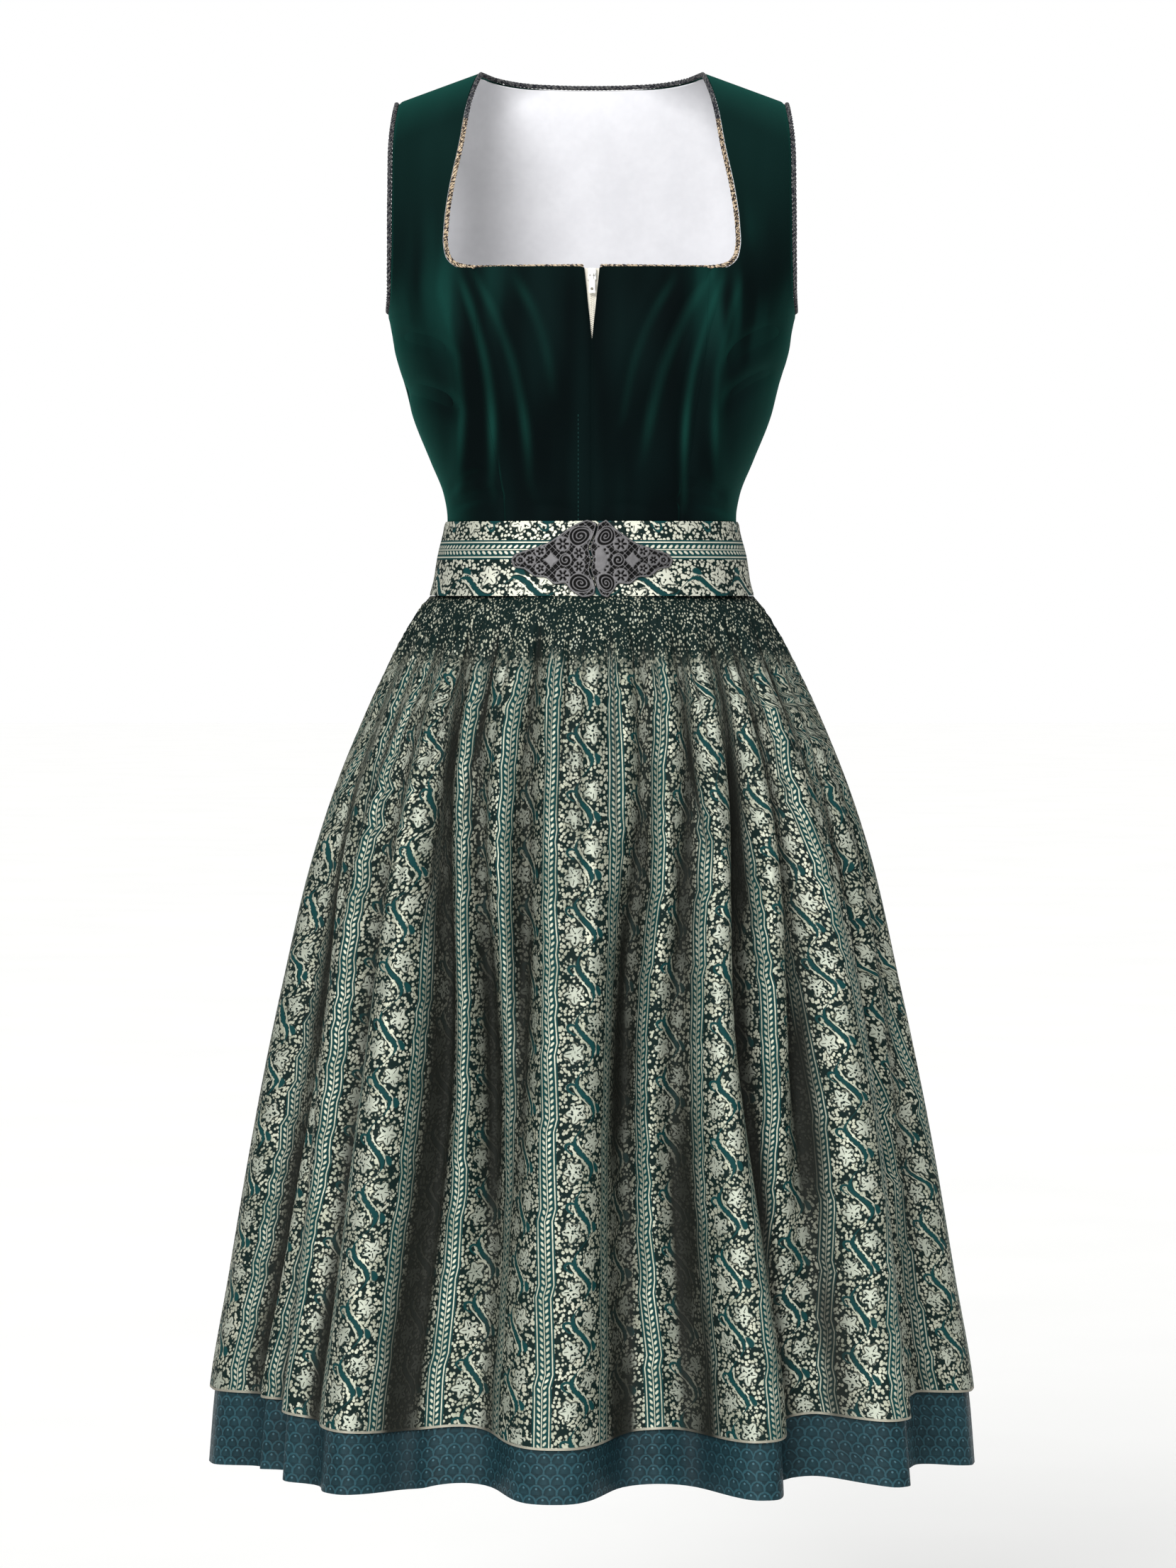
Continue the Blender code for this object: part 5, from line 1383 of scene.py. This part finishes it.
def add_braid(name, path, finish_at, node, closed=False):
    """Three yarns round a path, in one mesh; finish_at gives each face's material."""
    path = even_path(path, 1.1, closed)
    count = len(path)
    along = np.concatenate([[0.0], np.cumsum(np.linalg.norm(np.diff(path, axis=0), axis=1))])
    turns = along / YARN_TURN * math.tau
    if closed:
        loop = along[-1] + np.linalg.norm(path[0] - path[-1])
        turns = along / loop * math.tau * round(loop / YARN_TURN)
    _, first, second = tube_points(path, 1.0, 3, closed)
    points, faces, flats = [], [], []
    for yarn in range(3):
        turn = turns + yarn * math.tau / 3 + 0.25 * uneven(along / 6.0, yarn)
        middle = path + YARN_OUT * (np.cos(turn)[:, None] * first + np.sin(turn)[:, None] * second)
        ring, *_ = tube_points(middle, YARN_RADIUS, YARN_SIDES, closed, taper=not closed)
        quads, spots = tube_faces(count, YARN_SIDES, closed, yarn * count * YARN_SIDES)
        far = np.append(along, along[-1] + 1.1)
        flat = np.stack(np.broadcast_arrays(far[:, None] + 300.0 * yarn,
                                            np.arange(YARN_SIDES + 1) * 0.75), -1)
        points.append(ring.reshape(-1, 3))
        faces.append(quads)
        flats.append(flat.reshape(-1, 2)[spots])
        if not closed:
            start = yarn * count * YARN_SIDES
            fan = np.arange(YARN_SIDES // 2 - 1)
            for base, order in ((0, 1), ((count - 1) * YARN_SIDES, -1)):
                cap = np.stack([start + base + fan, start + base + fan + 1,
                                start + base + YARN_SIDES - 2 - fan,
                                start + base + YARN_SIDES - 1 - fan], -1)[:, ::order]
                faces.append(cap)
                flats.append(np.zeros((len(cap), 4, 2)))
    points, faces = np.concatenate(points), np.concatenate(faces)
    piece = add_piece(name, points, faces, FRONT_BRAID, np.concatenate(flats))
    piece.data.materials.append(DARK_BRAID)
    middle = points[faces].mean(1)
    piece.data.polygons.foreach_set("material_index", finish_at(middle).astype(np.int32))
    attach(piece, "dress")
    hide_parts(node)
    print(name, "is", round(float(along[-1])), "mm long")
    return piece


# %% [markdown]
# The cord lies against the cut edge, so its path is the edge of the panels' own grid
# moved off the cloth by the cord's radius. It starts and ends beside the zip, and its
# yarns are tan along the front and dark round the back.

# %% The cord round the neckline and the armholes
def beside_edge(edge, normal, away):
    """edge + (radius + gap) * off - half the velvet * normal, with off beside the edge."""
    off = unit(np.cross(np.gradient(edge, axis=0), normal))
    off = off * np.sign((off * np.array(away)).sum(1, keepdims=True))
    return edge + (TRIM_RADIUS + SEAM_GAP) * off - VELVET / 2 * normal


def neck_path():
    """Half of the neckline's path mirrored: front edge, strap, neck point, back scoop."""
    corner = CENTRE_CELLS + CORNER_CELL
    level = LOW_ROWS - 1
    edge = np.concatenate([FRONT[level, :corner], FRONT[level:-1, corner]])
    facing = np.concatenate([FRONT_NORMAL[level, :corner], FRONT_NORMAL[level:-1, corner]])
    rising_part = beside_edge(edge, facing, (-1.0, 0.0, 1.0))
    rising_part[0, 0] = edge[0, 0] + SEAM_GAP
    scoop = np.flatnonzero((BACK[-1, :, 0] < NECK_POINT_X - 6.0) & (BACK[-1, :, 0] > -1e-6))
    falling = beside_edge(BACK[-1, scoop], BACK_NORMAL[-1, scoop], (-1.0, 0.0, 1.0))
    over_point = np.array([[NECK_POINT_X - TRIM_RADIUS - SEAM_GAP, float(torso("middle", 0.0)), 0.0]])
    half = np.concatenate([rising_part, over_point, falling])
    return np.concatenate([half, (half * np.array([-1.0, 1.0, 1.0]))[-2::-1]])


def armhole_path():
    """The left armhole's path: from the shoulder's tip down the front and up the back."""
    first = int(np.searchsorted(FRONT[:, -1, 2], ARMHOLE_BOTTOM + 1.0))
    down = slice(None, first - 1, -1)
    front = beside_edge(FRONT[down, -1][1:], FRONT_NORMAL[down, -1][1:], (1.0, 0.0, 0.3))
    back_first = int(np.searchsorted(BACK[:, 0, 2], ARMHOLE_BOTTOM + 1.0))
    back = beside_edge(BACK[back_first:-1, 0], BACK_NORMAL[back_first:-1, 0], (1.0, 0.0, 0.3))
    lift = TRIM_RADIUS + SEAM_GAP
    tip_z = float(ridge(SHOULDER_TIP_X))
    top = np.array([[SHOULDER_TIP_X + lift, float(torso("middle", tip_z)), tip_z - 1.0]])
    low = np.array([[float(torso("half_width", ARMHOLE_BOTTOM)) - VELVET / 2, 2.0,
                     ARMHOLE_BOTTOM + lift + 4 * SEAM_GAP]])
    return np.concatenate([top, front, low, back])


def dark_at_back(middle):
    """Dark braid from the top of the straps round the back, tan braid in front."""
    return (middle[:, 1] > -20.0) | (middle[:, 2] > -40.0)


def all_dark(middle):
    return np.ones(len(middle))


add_braid("neck_braid", neck_path(), dark_at_back, "neck_trim")
arm = armhole_path()
for side, way in (("left", 1.0), ("right", -1.0)):
    path = arm * np.array([way, 1.0, 1.0])
    add_braid(f"armhole_braid_{side}", path[::-1] if way < 0 else path, all_dark,
              f"armhole_trim_{side}", closed=True)

# %% [markdown]
# ## The zip
# A cream tape lies behind the opening and carries a fine coil. The coil's turns are tiny,
# so one short rounded bar is repeated along both sides of the middle. The slider and its
# pull are the CAD model's own parts in white enamel.

# %% The zip's tape and coil
COIL_PITCH = 1.5
TAPE_DEPTH = VELVET + 2 * SEAM_GAP + 0.8
tape_z = np.linspace(ZIP_BOTTOM, NECK_FRONT_Z - 0.6, 60)[:, None]
tape_x = np.linspace(-ZIP_TAPE_HALF, ZIP_TAPE_HALF, 41)
tape_form = torso_point(tape_x, tape_z, -1)
tape_normal = grid_normals(tape_form)
tape_rib = 0.12 * np.cos(np.clip(np.abs(tape_x) - 6.0, 0, None) * 2.2)
tape_outer = tape_form - (TAPE_DEPTH - tape_rib[:, None]) * tape_normal
tape = cloth("zip_tape_cloth", tape_outer, 0.9, TAPE_CLOTH, "zip_tape", tape_normal)


teeth_z = np.arange(ZIP_BOTTOM + 2.0, -160.0, COIL_PITCH)
bar_x = np.array([0.15, 0.6, 1.2, 1.75])
side_turn = math.tau * np.arange(6) / 6
teeth, tooth_faces = [], []
bar_quads, _ = tube_faces(4, 6, False)
for way, shift in ((-1.0, 0.0), (1.0, COIL_PITCH / 2)):
    middle = torso_point(way * bar_x, teeth_z[:, None] + shift, -1)
    middle[..., 1] += TAPE_DEPTH - 0.75 + 0.35 * (bar_x / 1.75) ** 2
    thick = np.array([0.30, 0.52, 0.50, 0.30])
    ring = np.stack([0 * side_turn, np.cos(side_turn), np.sin(side_turn)], -1)
    bars = middle[:, :, None] + thick[None, :, None, None] * ring
    start = sum(len(part) for part in teeth)
    teeth.append(bars.reshape(-1, 3))
    quads = bar_quads if way < 0 else bar_quads[:, ::-1]
    ends = np.array([[0, 1, 2, 3], [0, 3, 4, 5], [21, 20, 19, 18], [23, 22, 21, 18]])
    ends = ends[:, ::-1] if way < 0 else ends
    one = np.concatenate([quads, ends])
    tooth_faces.append((one[None] + 24 * np.arange(len(teeth_z))[:, None, None]).reshape(-1, 4) + start)
coil = add_piece("zip_coil", np.concatenate(teeth), np.concatenate(tooth_faces), TAPE_CLOTH,
                 np.zeros((4 * sum(len(part) for part in tooth_faces), 2)))
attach(coil, "dress")

for node in ("zip_slider", "zip_pull"):
    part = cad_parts[node]
    part.data.materials.clear()
    part.data.materials.append(ENAMEL)
    part.data.shade_smooth()
    part.data.set_sharp_from_angle(angle=math.radians(30.0))
print("zip with", 2 * len(teeth_z), "turns of the coil")

# %% [markdown]
# ## The stitches
# A row of stitches runs down beside the closure and holds its facing. Each is a short
# tube that dips into the pile at both ends.

# %% A row of stitches
STITCH_LONG, STITCH_PITCH, STITCH_X = 2.3, 3.3, -10.5
stitch_z = np.arange(-352.0, -268.0, STITCH_PITCH)
share = np.linspace(-0.5, 0.5, 5)
line = torso_point(np.full((len(stitch_z), 5), STITCH_X), stitch_z[:, None] + STITCH_LONG * share, -1)
line[..., 1] -= 0.30 - 1.4 * share**2 * 2
ring = np.stack([np.cos(side_turn), np.sin(side_turn), 0 * side_turn], -1)
stitches = line[:, :, None] + (0.32 - 0.5 * share**2)[None, :, None, None] * ring
quads, _ = tube_faces(5, 6, False)
ends = np.array([[3, 2, 1, 0], [5, 4, 3, 0], [24, 25, 26, 27], [24, 27, 28, 29]])
one = np.concatenate([quads[:, ::-1], ends])
every = (one[None] + 30 * np.arange(len(stitch_z))[:, None, None]).reshape(-1, 4)
thread = add_piece("closure_stitches", stitches.reshape(-1, 3), every, THREAD)
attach(thread, "dress")
print("stitches:", len(stitch_z))


# %% [markdown]
# ## How the long cloth is laid out
# A gathered skirt is a plain rectangle. Where folds are visible, the cloth lies at its true
# width, and the rest of the width is tucked away inside the valleys. So each row of points
# is spaced evenly, while the flat place runs at true scale on the ridges and faster in the
# valleys. Every third valley holds one thread of the cloth all the way down, so that the
# woven stripes run along the ridges. Each stretch between two held valleys is as wide as
# its widest row, and these widths add up to the rectangle's own width.

# %% Rows of even spacing, and the flat place along them
def valley(turn, z):
    """Near 1 in the bottom of a fold or a fine pleat and 0 on the ridges."""
    width, _ = skirt_section(np.full_like(z, math.pi / 2), z)
    girth = width[..., 0]
    levels = np.array(FOLD_LEVELS)
    at = np.clip(z, levels[-1], levels[0])
    total = np.zeros(np.broadcast(turn, z).shape)
    for row in FOLDS:
        fold = dict(zip(FOLD_COLUMNS, row))
        middle = curve(list(zip(levels, (fold["top"], fold["mid"], fold["hem"]))), at)
        deep = curve(list(zip(levels, (fold["deep_top"], fold["deep_mid"], fold["deep_hem"]))), at)
        away = (np.degrees(turn) - middle + 180.0) % 360.0 - 180.0
        away = np.radians(away) * girth
        wide = fold["wide"] * np.interp(girth, (150.0, 240.0, 300.0), (0.62, 1.0, 1.25)) * 0.62
        total += np.clip(deep / 16.0, 0, 1.3) * np.exp(-0.5 * (away / wide) ** 2)
    begin = smooth(FOLD_START, FOLD_LEVELS[0], z)
    bent = turn * FINE_PLEATS / 2 + 1.5 * uneven(turn * 7.0, 0.7) + 0.4 * uneven(z / 90.0, 2.0)
    fade = smooth(-800.0, -500.0, z) * smooth(FOLD_START + 4.0, -452.0, z)
    return np.clip(begin * total + 0.5 * fade * (1 - np.abs(np.sin(bent))) ** 4, 0.0, 1.0)


def even_turns(low, high, z, columns, samples=1600):
    """For each row, the turns at which the folded row's length is split evenly."""
    share = np.linspace(0.0, 1.0, samples)
    turns = low + (high - low) * share + 0 * z
    points = skirt_points(turns, z)
    steps = np.linalg.norm(np.diff(points, axis=1), axis=-1)
    at = np.concatenate([np.zeros((len(z), 1)), np.cumsum(steps, 1)], 1)
    want = np.linspace(0.0, 1.0, columns)
    return np.array([np.interp(want * row[-1], row, turn) for row, turn in zip(at, turns)])


def fold_lines(z, reach):
    """The turn of each held valley in every row: every third fold's, within a reach in degrees."""
    levels = np.array(FOLD_LEVELS)
    at = np.clip(z[:, 0], levels[-1], levels[0])
    lines = []
    for row in FOLDS:
        fold = dict(zip(FOLD_COLUMNS, row))
        middle = curve(list(zip(levels, (fold["top"], fold["mid"], fold["hem"]))), at)
        middle = np.where(middle > 180.0, middle - 360.0, middle)
        if np.abs(middle).max() < reach:
            lines.append(np.radians(middle))
    return np.sort(np.array(lines), 0)[::HELD_EVERY]


def flat_width(points, turn, tucked, lines):
    """The cloth's width, then each point's place across it. Each stretch between two held
    valleys is as wide as its widest row, and the other rows tuck the rest into valleys."""
    steps = np.linalg.norm(np.diff(points, axis=1), axis=-1)
    middle = (turn[:, 1:] + turn[:, :-1]) / 2
    stretch = (middle[None] > lines[:, :, None]).sum(0)
    weight = ((tucked[:, 1:] + tucked[:, :-1]) / 2) ** 3 + 0.004
    made = np.zeros(steps.shape)
    for between in range(len(lines) + 1):
        here = stretch == between
        shown = (steps * here).sum(1)
        wide = shown.max()
        more = (wide - shown) / np.maximum((steps * weight * here).sum(1), 1e-9)
        made += steps * here * (1 + more[:, None] * weight)
    at = np.concatenate([np.zeros((len(steps), 1)), np.cumsum(made, 1)], 1)
    return float(at[0, -1]), at - at[:, -1:] / 2


# %% [markdown]
# ## The dress's skirt
# One gathered tube hangs from the waist. Under the apron it lies a few millimetres inside
# the apron's own form, and past the apron's edges it comes out to the full form.

# %% The dress skirt
DRESS_COLUMNS = 440
ROW_Z = np.concatenate([np.linspace(DRESS_HEM, DRESS_HEM + 4.0, 3),
                        np.linspace(DRESS_HEM + 14.0, -460.0, 62),
                        np.linspace(-452.0, BAND_BOTTOM, 10)])[:, None]


def with_hem(z, turn, hem, nominal):
    """Moves rows up or down with the hem's line, less and less toward the hips."""
    return z + smooth(-620.0, nominal, z) * (hem(turn) - nominal)


turn = even_turns(-math.pi, math.pi, ROW_Z, DRESS_COLUMNS + 1)
dress_z = with_hem(ROW_Z, turn, dress_hem, DRESS_HEM)
normal = skirt_normals(turn, dress_z)
past = np.abs(turn) - apron_half(np.clip(dress_z, -1045.0, -405.0))
under_apron = 1 - smooth(math.radians(2.0), math.radians(11.0), past)
under_apron = np.maximum(under_apron, smooth(-440.0, BAND_BOTTOM, dress_z))
points = skirt_points(turn, dress_z) - (APRON + APRON_TO_DRESS) * under_apron[..., None] * normal
tucked = valley(turn, dress_z)
dress_wide, across = flat_width(points, turn, tucked, fold_lines(ROW_Z, 175.0))
waist = torso_turn(turn[-1], np.full(DRESS_COLUMNS + 1, WAIST_Z - SEAM_GAP))
rise = np.array([0.5, 1.0])[:, None, None]
top_rows = points[-1] + rise * (waist - points[-1])
points = np.concatenate([points, top_rows])
normal = np.concatenate([normal, np.repeat(normal[-1:], 2, 0)])
normal[-2:, :, 2] = 0.0
flat = np.stack([np.concatenate([across, across[-1:], across[-1:]]),
                 np.concatenate([ROW_Z, [[-391.0], [-375.3]]]) * 1.035 + 0 * points[..., 0]], -1)
# The valleys' depth goes to the finish as a mark for painted shade.
hollow_shade = np.concatenate([tucked, tucked[-1:], tucked[-1:]])
skirt_piece = cloth("petrol_dress_skirt", points[:, :-1], SKIRT, SCALE_CLOTH, "dress_skirt",
                    unit(normal)[:, :-1], closed=True, flat=flat,
                    marks={"hollow_shade": hollow_shade[:, :-1]})
dress_flat = (dress_wide * MM, lengths(points, 0).max() * MM)
print("dress: area share", round(surface_area(points) * MM * MM / dress_flat[0] / dress_flat[1], 4))
print("dress skirt: cloth", round(dress_wide), "mm wide,", len(skirt_piece.data.polygons), "faces")

# %% [markdown]
# ## The apron's skirt
# The apron is a second rectangle, gathered in some eighty tight rows of smocking under its
# band. Below the smocking the gathers open into the long folds. Six columns of points
# make one gather, so that the smocking's ridges come from the columns' own numbers.

# %% The apron skirt
APRON_COLUMNS = 6 * GATHERS + 1
FALL_Z = np.concatenate([[APRON_HEM_FRONT, APRON_HEM_FRONT + 1.5, APRON_HEM_FRONT + 2.1],
                         np.linspace(APRON_HEM_FRONT + 9.0, -500.0, 58),
                         np.linspace(-494.0, BAND_BOTTOM - SEAM_GAP, 24)])[:, None]
half = apron_half(FALL_Z)
turn = even_turns(-half, half, FALL_Z, APRON_COLUMNS)
apron_z = with_hem(FALL_Z, turn, apron_hem, APRON_HEM_FRONT)
normal = skirt_normals(turn, apron_z)
level = smooth(BAND_BOTTOM - 8.0, BAND_BOTTOM - 1.0, apron_z)
normal[..., 2] *= 1 - level
normal = unit(normal)
column = np.arange(APRON_COLUMNS)
shaken = column / 6.0 + 0.16 * uneven(column / 13.0, 0.5) + 0.3 * uneven(apron_z / 4.0 + column / 7.0, 1.7)
ridges = np.abs(np.sin(math.pi * shaken)) ** 0.7
gathered = smooth(SMOCKED_TO - 62.0, SMOCKED_TO + 4.0, apron_z)
strength = gathered * smooth(BAND_BOTTOM, BAND_BOTTOM - 9.0, apron_z)
high = GATHER_OUT * (0.8 + 0.5 * uneven(column / 3.1 + apron_z / 3.3, 2.2))
outer = skirt_points(turn, apron_z) + (strength * high * ridges)[..., None] * normal
inner = skirt_points(turn, apron_z) - APRON * normal
tucked = valley(turn, apron_z)
apron_wide, across = flat_width(skirt_points(turn, apron_z), turn, tucked,
                                fold_lines(FALL_Z, 82.0))
flat = np.stack([across, FALL_Z * 1.035 + 0 * across], -1)
hem_line = (FALL_Z < APRON_HEM_FRONT + 1.6) + 0.0 * across
smocked = smooth(SMOCKED_TO - 16.0, SMOCKED_TO + 4.0, apron_z + 5.0 * uneven(turn * 25.0, 3.0))
# The valleys' depth goes to the finish as a mark for painted shade.
apron = cloth("jacquard_apron_skirt", outer, APRON, JACQUARD, "apron_skirt",
              normal, flat=flat, inner=inner,
              marks={"hollow_shade": valley(turn, apron_z), "hem_line": hem_line, "smocked": smocked})
apron_flat = (apron_wide * MM, lengths(outer, 0).max() * MM)
print("apron: area share", round(surface_area(outer) * MM * MM / apron_flat[0] / apron_flat[1], 3))
print("apron: cloth", round(apron_wide), "mm wide,", len(apron.data.polygons), "faces")

# %% [markdown]
# ## The apron's band
# The band is the same cloth cut across, so its stripes run round the waist. Its edges are
# folded over, which a slight roll at the top and the bottom shows.

# %% The apron band
BAND_SLIT = 0.003
band_turn = np.linspace(-math.pi + BAND_SLIT, math.pi - BAND_SLIT, 361)
band_z = np.linspace(BAND_BOTTOM, BAND_TOP, 25)[:, None]
form = torso_turn(band_turn, band_z)
out = form - np.stack([0 * form[..., 0], torso("middle", form[..., 2]), 0 * form[..., 0]], -1)
out[..., 2] = 0.0
out = unit(out)
to_edge = np.minimum(band_z - BAND_BOTTOM, BAND_TOP - band_z)
roll = 0.9 * np.exp(-((to_edge / 1.6) ** 2))
soft = 0.45 * uneven(band_turn * 9.0 + band_z / 21.0, 0.8) * smooth(0.0, 6.0, to_edge)
band_outer = form + (BAND_LIFT - roll + np.minimum(soft, 0.3))[..., None] * out
round_waist = np.cumsum(np.linalg.norm(np.diff(form[12], axis=0), axis=1))
round_waist = np.concatenate([[0.0], round_waist]) - round_waist[-1] / 2
flat = np.stack([band_z - BAND_TOP + 22.0 + STRIPE / 2 + 0 * band_turn, round_waist + 0 * band_z], -1)
band = cloth("jacquard_band", band_outer, BAND, JACQUARD, "apron_waistband",
             flat=flat, inner=form + (BAND_LIFT - BAND) * out,
             marks={"band": np.ones(band_outer.shape[:2])})
print("band is", round(float(lengths(band_outer, 1).max())), "mm long")


# %% [markdown]
# ## The clasp
# Two cast halves hook together over the band. Cast filigree is a plate whose openings leave
# rounded bars, so its form follows from one number at each place: how far the nearest
# opening or edge is. The bars swell with that distance. The openings keep a thin floor
# coloured near-black as painted shade, and the gap where the halves meet is painted dark
# as shade too. The ornament is a generic one worked out by formula: discs of wound wire
# and of petals in mirrored pairs, a four-pointed star, and a trellis in what is left
# between them.
# The half on the wearer's left has a plain boss beside the seam.

# %% The clasp's outline and openings
CLASP_Z = -380.5
CLASP_THICK = 2.0
CLASP_GAP = 0.7
CLASP_STEP = 0.4
CLASP_TOP = (
    (-61.0, 0.0), (-57.5, 4.5), (-47.0, 8.0), (-34.0, 12.5), (-25.0, 18.5), (-14.0, 27.0),
    (-7.0, 31.0), (0.0, 28.0),
)
CLASP_BOTTOM = (
    (-58.5, -5.5), (-51.0, -7.0), (-44.0, -12.5), (-35.0, -13.5), (-29.0, -18.5),
    (-20.0, -18.5), (-16.5, -23.5), (-9.5, -29.5), (-2.5, -27.5), (0.0, -21.0),
)
CLASP_SEAM = (
    (-31.0, 4.6), (-25.8, 4.0), (-16.5, 1.9), (-7.3, -1.4), (0.0, 0.0), (9.4, -1.85),
    (18.6, 1.85), (31.0, 5.0),
)
STAR_AWAY, STAR_REACH, STAR_POWER = 31.0, 7.5, 0.62
# Discs of ornament: away from the seam, above and below the middle, radius, and the
# number of petals, where 0 is a disc of wound wire.
DISC_COLUMNS = ("away", "lift", "radius", "petals")
DISCS = (
    (9.5, 18.0, 7.6, 0), (9.0, 5.0, 4.6, 6), (22.0, 12.0, 5.2, 6), (20.0, 0.0, 4.4, 0),
    (39.0, 6.4, 3.7, 5), (46.5, 0.0, 3.6, 6), (54.0, 0.0, 2.7, 5),
)
WIRE_PITCH, SLOT_SHARE = 2.7, 0.44
PETAL_GAP, EYE = 0.42, 0.8
BAR, RIM_BAR, TRELLIS = 0.9, 1.5, 5.0
BOSS = {"away": 7.0, "half_wide": 5.0, "half_high": 9.5}


def rounded_line(points, per_span=6):
    """A soft line through given points."""
    points = np.array(points, float)
    fine = np.linspace(0, len(points) - 1, per_span * (len(points) - 1) + 1)
    slope = np.gradient(points, axis=0)
    k = np.minimum(fine.astype(int), len(points) - 2)
    t = (fine - k)[:, None]
    a, b = points[k], points[k + 1]
    bend = t * (1 - t) * ((1 - t) * slope[k] - t * slope[k + 1])
    return a + t * t * (3 - 2 * t) * (b - a) + 0.6 * bend


def clasp_outline():
    """One half's closed outline, straight where the halves meet."""
    upper, lower = rounded_line(CLASP_TOP), rounded_line(((-61.0, 0.0), *CLASP_BOTTOM))
    seam_z = np.linspace(upper[-1, 1], lower[-1, 1], 40)
    return np.concatenate([upper[:-1], np.stack([0 * seam_z, seam_z], -1), lower[-2:0:-1]])


def edge_distance(x, z, outline):
    """The distance to a closed outline, positive inside by the crossings to the left."""
    a, b = outline[:, None, None], np.roll(outline, -1, 0)[:, None, None]
    place = np.stack([x, z], -1)[None]
    along = b - a
    t = np.clip(((place - a) * along).sum(-1) / (along**2).sum(-1), 0, 1)
    near = np.linalg.norm(place - a - t[..., None] * along, axis=-1).min(0)
    spans = (a[..., 1] > z) != (b[..., 1] > z)
    fall = np.where(along[..., 1] == 0, 1.0, along[..., 1])
    crossing = a[..., 0] + (z - a[..., 1]) * along[..., 0] / fall
    inside = (spans & (x < crossing)).sum(0) % 2 == 1
    return np.where(inside, near, -near)


def disc_opening(away, z, radius, petals):
    """Slots of a disc: between the turns of radius = pitch * turn, or between petals."""
    near, angle = np.hypot(away, z), np.arctan2(z, away)
    if petals:
        slot = near * np.abs(np.sin(angle * petals / 2)) * 2 / petals - PETAL_GAP
        return np.max([slot, near - radius + BAR, 0.3 * radius - near], 0)
    turns = (near / WIRE_PITCH - angle / math.tau) % 1.0
    slot = (np.abs(turns - 0.5) - SLOT_SHARE / 2) * WIRE_PITCH
    return np.max([slot, near - radius + BAR / 2, EYE - near], 0)


def clasp_openings(away, z, rim, plain_boss):
    """The distance outside the nearest opening: in the discs, or in the trellis between."""
    star = np.abs(away - STAR_AWAY) ** STAR_POWER + np.abs(z) ** STAR_POWER
    outside = star ** (1 / STAR_POWER) - STAR_REACH
    openings = []
    for row in DISCS:
        disc = dict(zip(DISC_COLUMNS, row))
        for way in (1.0, -1.0) if disc["lift"] else (1.0,):
            from_disc = (away - disc["away"], way * z - disc["lift"])
            openings.append(disc_opening(*from_disc, disc["radius"], disc["petals"]))
            outside = np.minimum(outside, np.hypot(*from_disc) - disc["radius"])
    between = [BAR - outside, RIM_BAR - rim]
    for lean in (1.0, -1.0):
        lattice = (away + lean * z + TRELLIS / 2) % TRELLIS - TRELLIS / 2
        between.append(BAR / 2 - np.abs(lattice) / math.sqrt(2))
    holes = np.minimum(np.min(openings, 0), np.max(between, 0))
    if plain_boss:
        boss = np.hypot((away - BOSS["away"]) / BOSS["half_wide"], z / BOSS["half_high"]) - 1
        holes = np.maximum(holes, -boss * BOSS["half_wide"])
    return holes


def clasp_surface(x, z, out):
    """The band's face under a place of the clasp, moved out along its normal."""
    height = z + CLASP_Z
    here = torso_point(x, height, -1)
    across = torso_point(x + 0.5, height, -1) - torso_point(x - 0.5, height, -1)
    up = torso_point(x, height + 0.5, -1) - torso_point(x, height - 0.5, -1)
    normal = unit(np.cross(across, up))
    return here + (BAND_LIFT + 2 * SEAM_GAP + out)[..., None] * normal


# %% The clasp's halves
clasp_x = np.arange(-62.4, CLASP_STEP / 2, CLASP_STEP)
clasp_z = np.arange(-31.2, 32.4, CLASP_STEP)[:, None]
plain_x, plain_z = np.broadcast_arrays(clasp_x, clasp_z)
rim = edge_distance(plain_x, plain_z, clasp_outline())
slope_z, slope_x = np.gradient(rim, CLASP_STEP)
cells = (rim[:-1, :-1] + rim[1:, 1:] + rim[1:, :-1] + rim[:-1, 1:]) > 0
slide = np.where(np.abs(rim) < 0.8 * CLASP_STEP, rim, 0.0)
plain_x, plain_z = plain_x - slide * slope_x, plain_z - slide * slope_z
for side in (-1, 1):
    seam = curve(CLASP_SEAM, plain_z) + side * CLASP_GAP / 2
    x, z = -side * plain_x + seam * smooth(-20.0, 0.0, plain_x), plain_z
    holes = clasp_openings(-plain_x, plain_z, rim, side > 0)
    bars = np.sqrt(1 - (1 - np.clip(np.minimum(rim, holes) / 1.3, 0, 1)) ** 2)
    face = 0.6 + (0.75 + 0.45 * bars) * smooth(-0.3, 0.25, holes)
    front = clasp_surface(x, z, np.minimum(face, CLASP_THICK))
    rear = clasp_surface(x, z, 0 * x)
    # Painted shade: near-black in the openings and just round them, and along the seam between the halves.
    shade, present = smooth(0.36, -0.08, holes), cells
    shade = np.maximum(shade, smooth(-1.0, -0.3, plain_x))
    if side > 0:
        front, rear, shade = front[:, ::-1], rear[:, ::-1], shade[:, ::-1]
        present = cells[:, ::-1]
    name = "left" if side > 0 else "right"
    half_clasp = cloth(f"pewter_clasp_{name}", front, CLASP_THICK, PEWTER, f"clasp_{name}",
                       present=present, inner=rear, marks={"hollow_shade": shade})
    print("clasp half with", len(half_clasp.data.polygons), "faces")
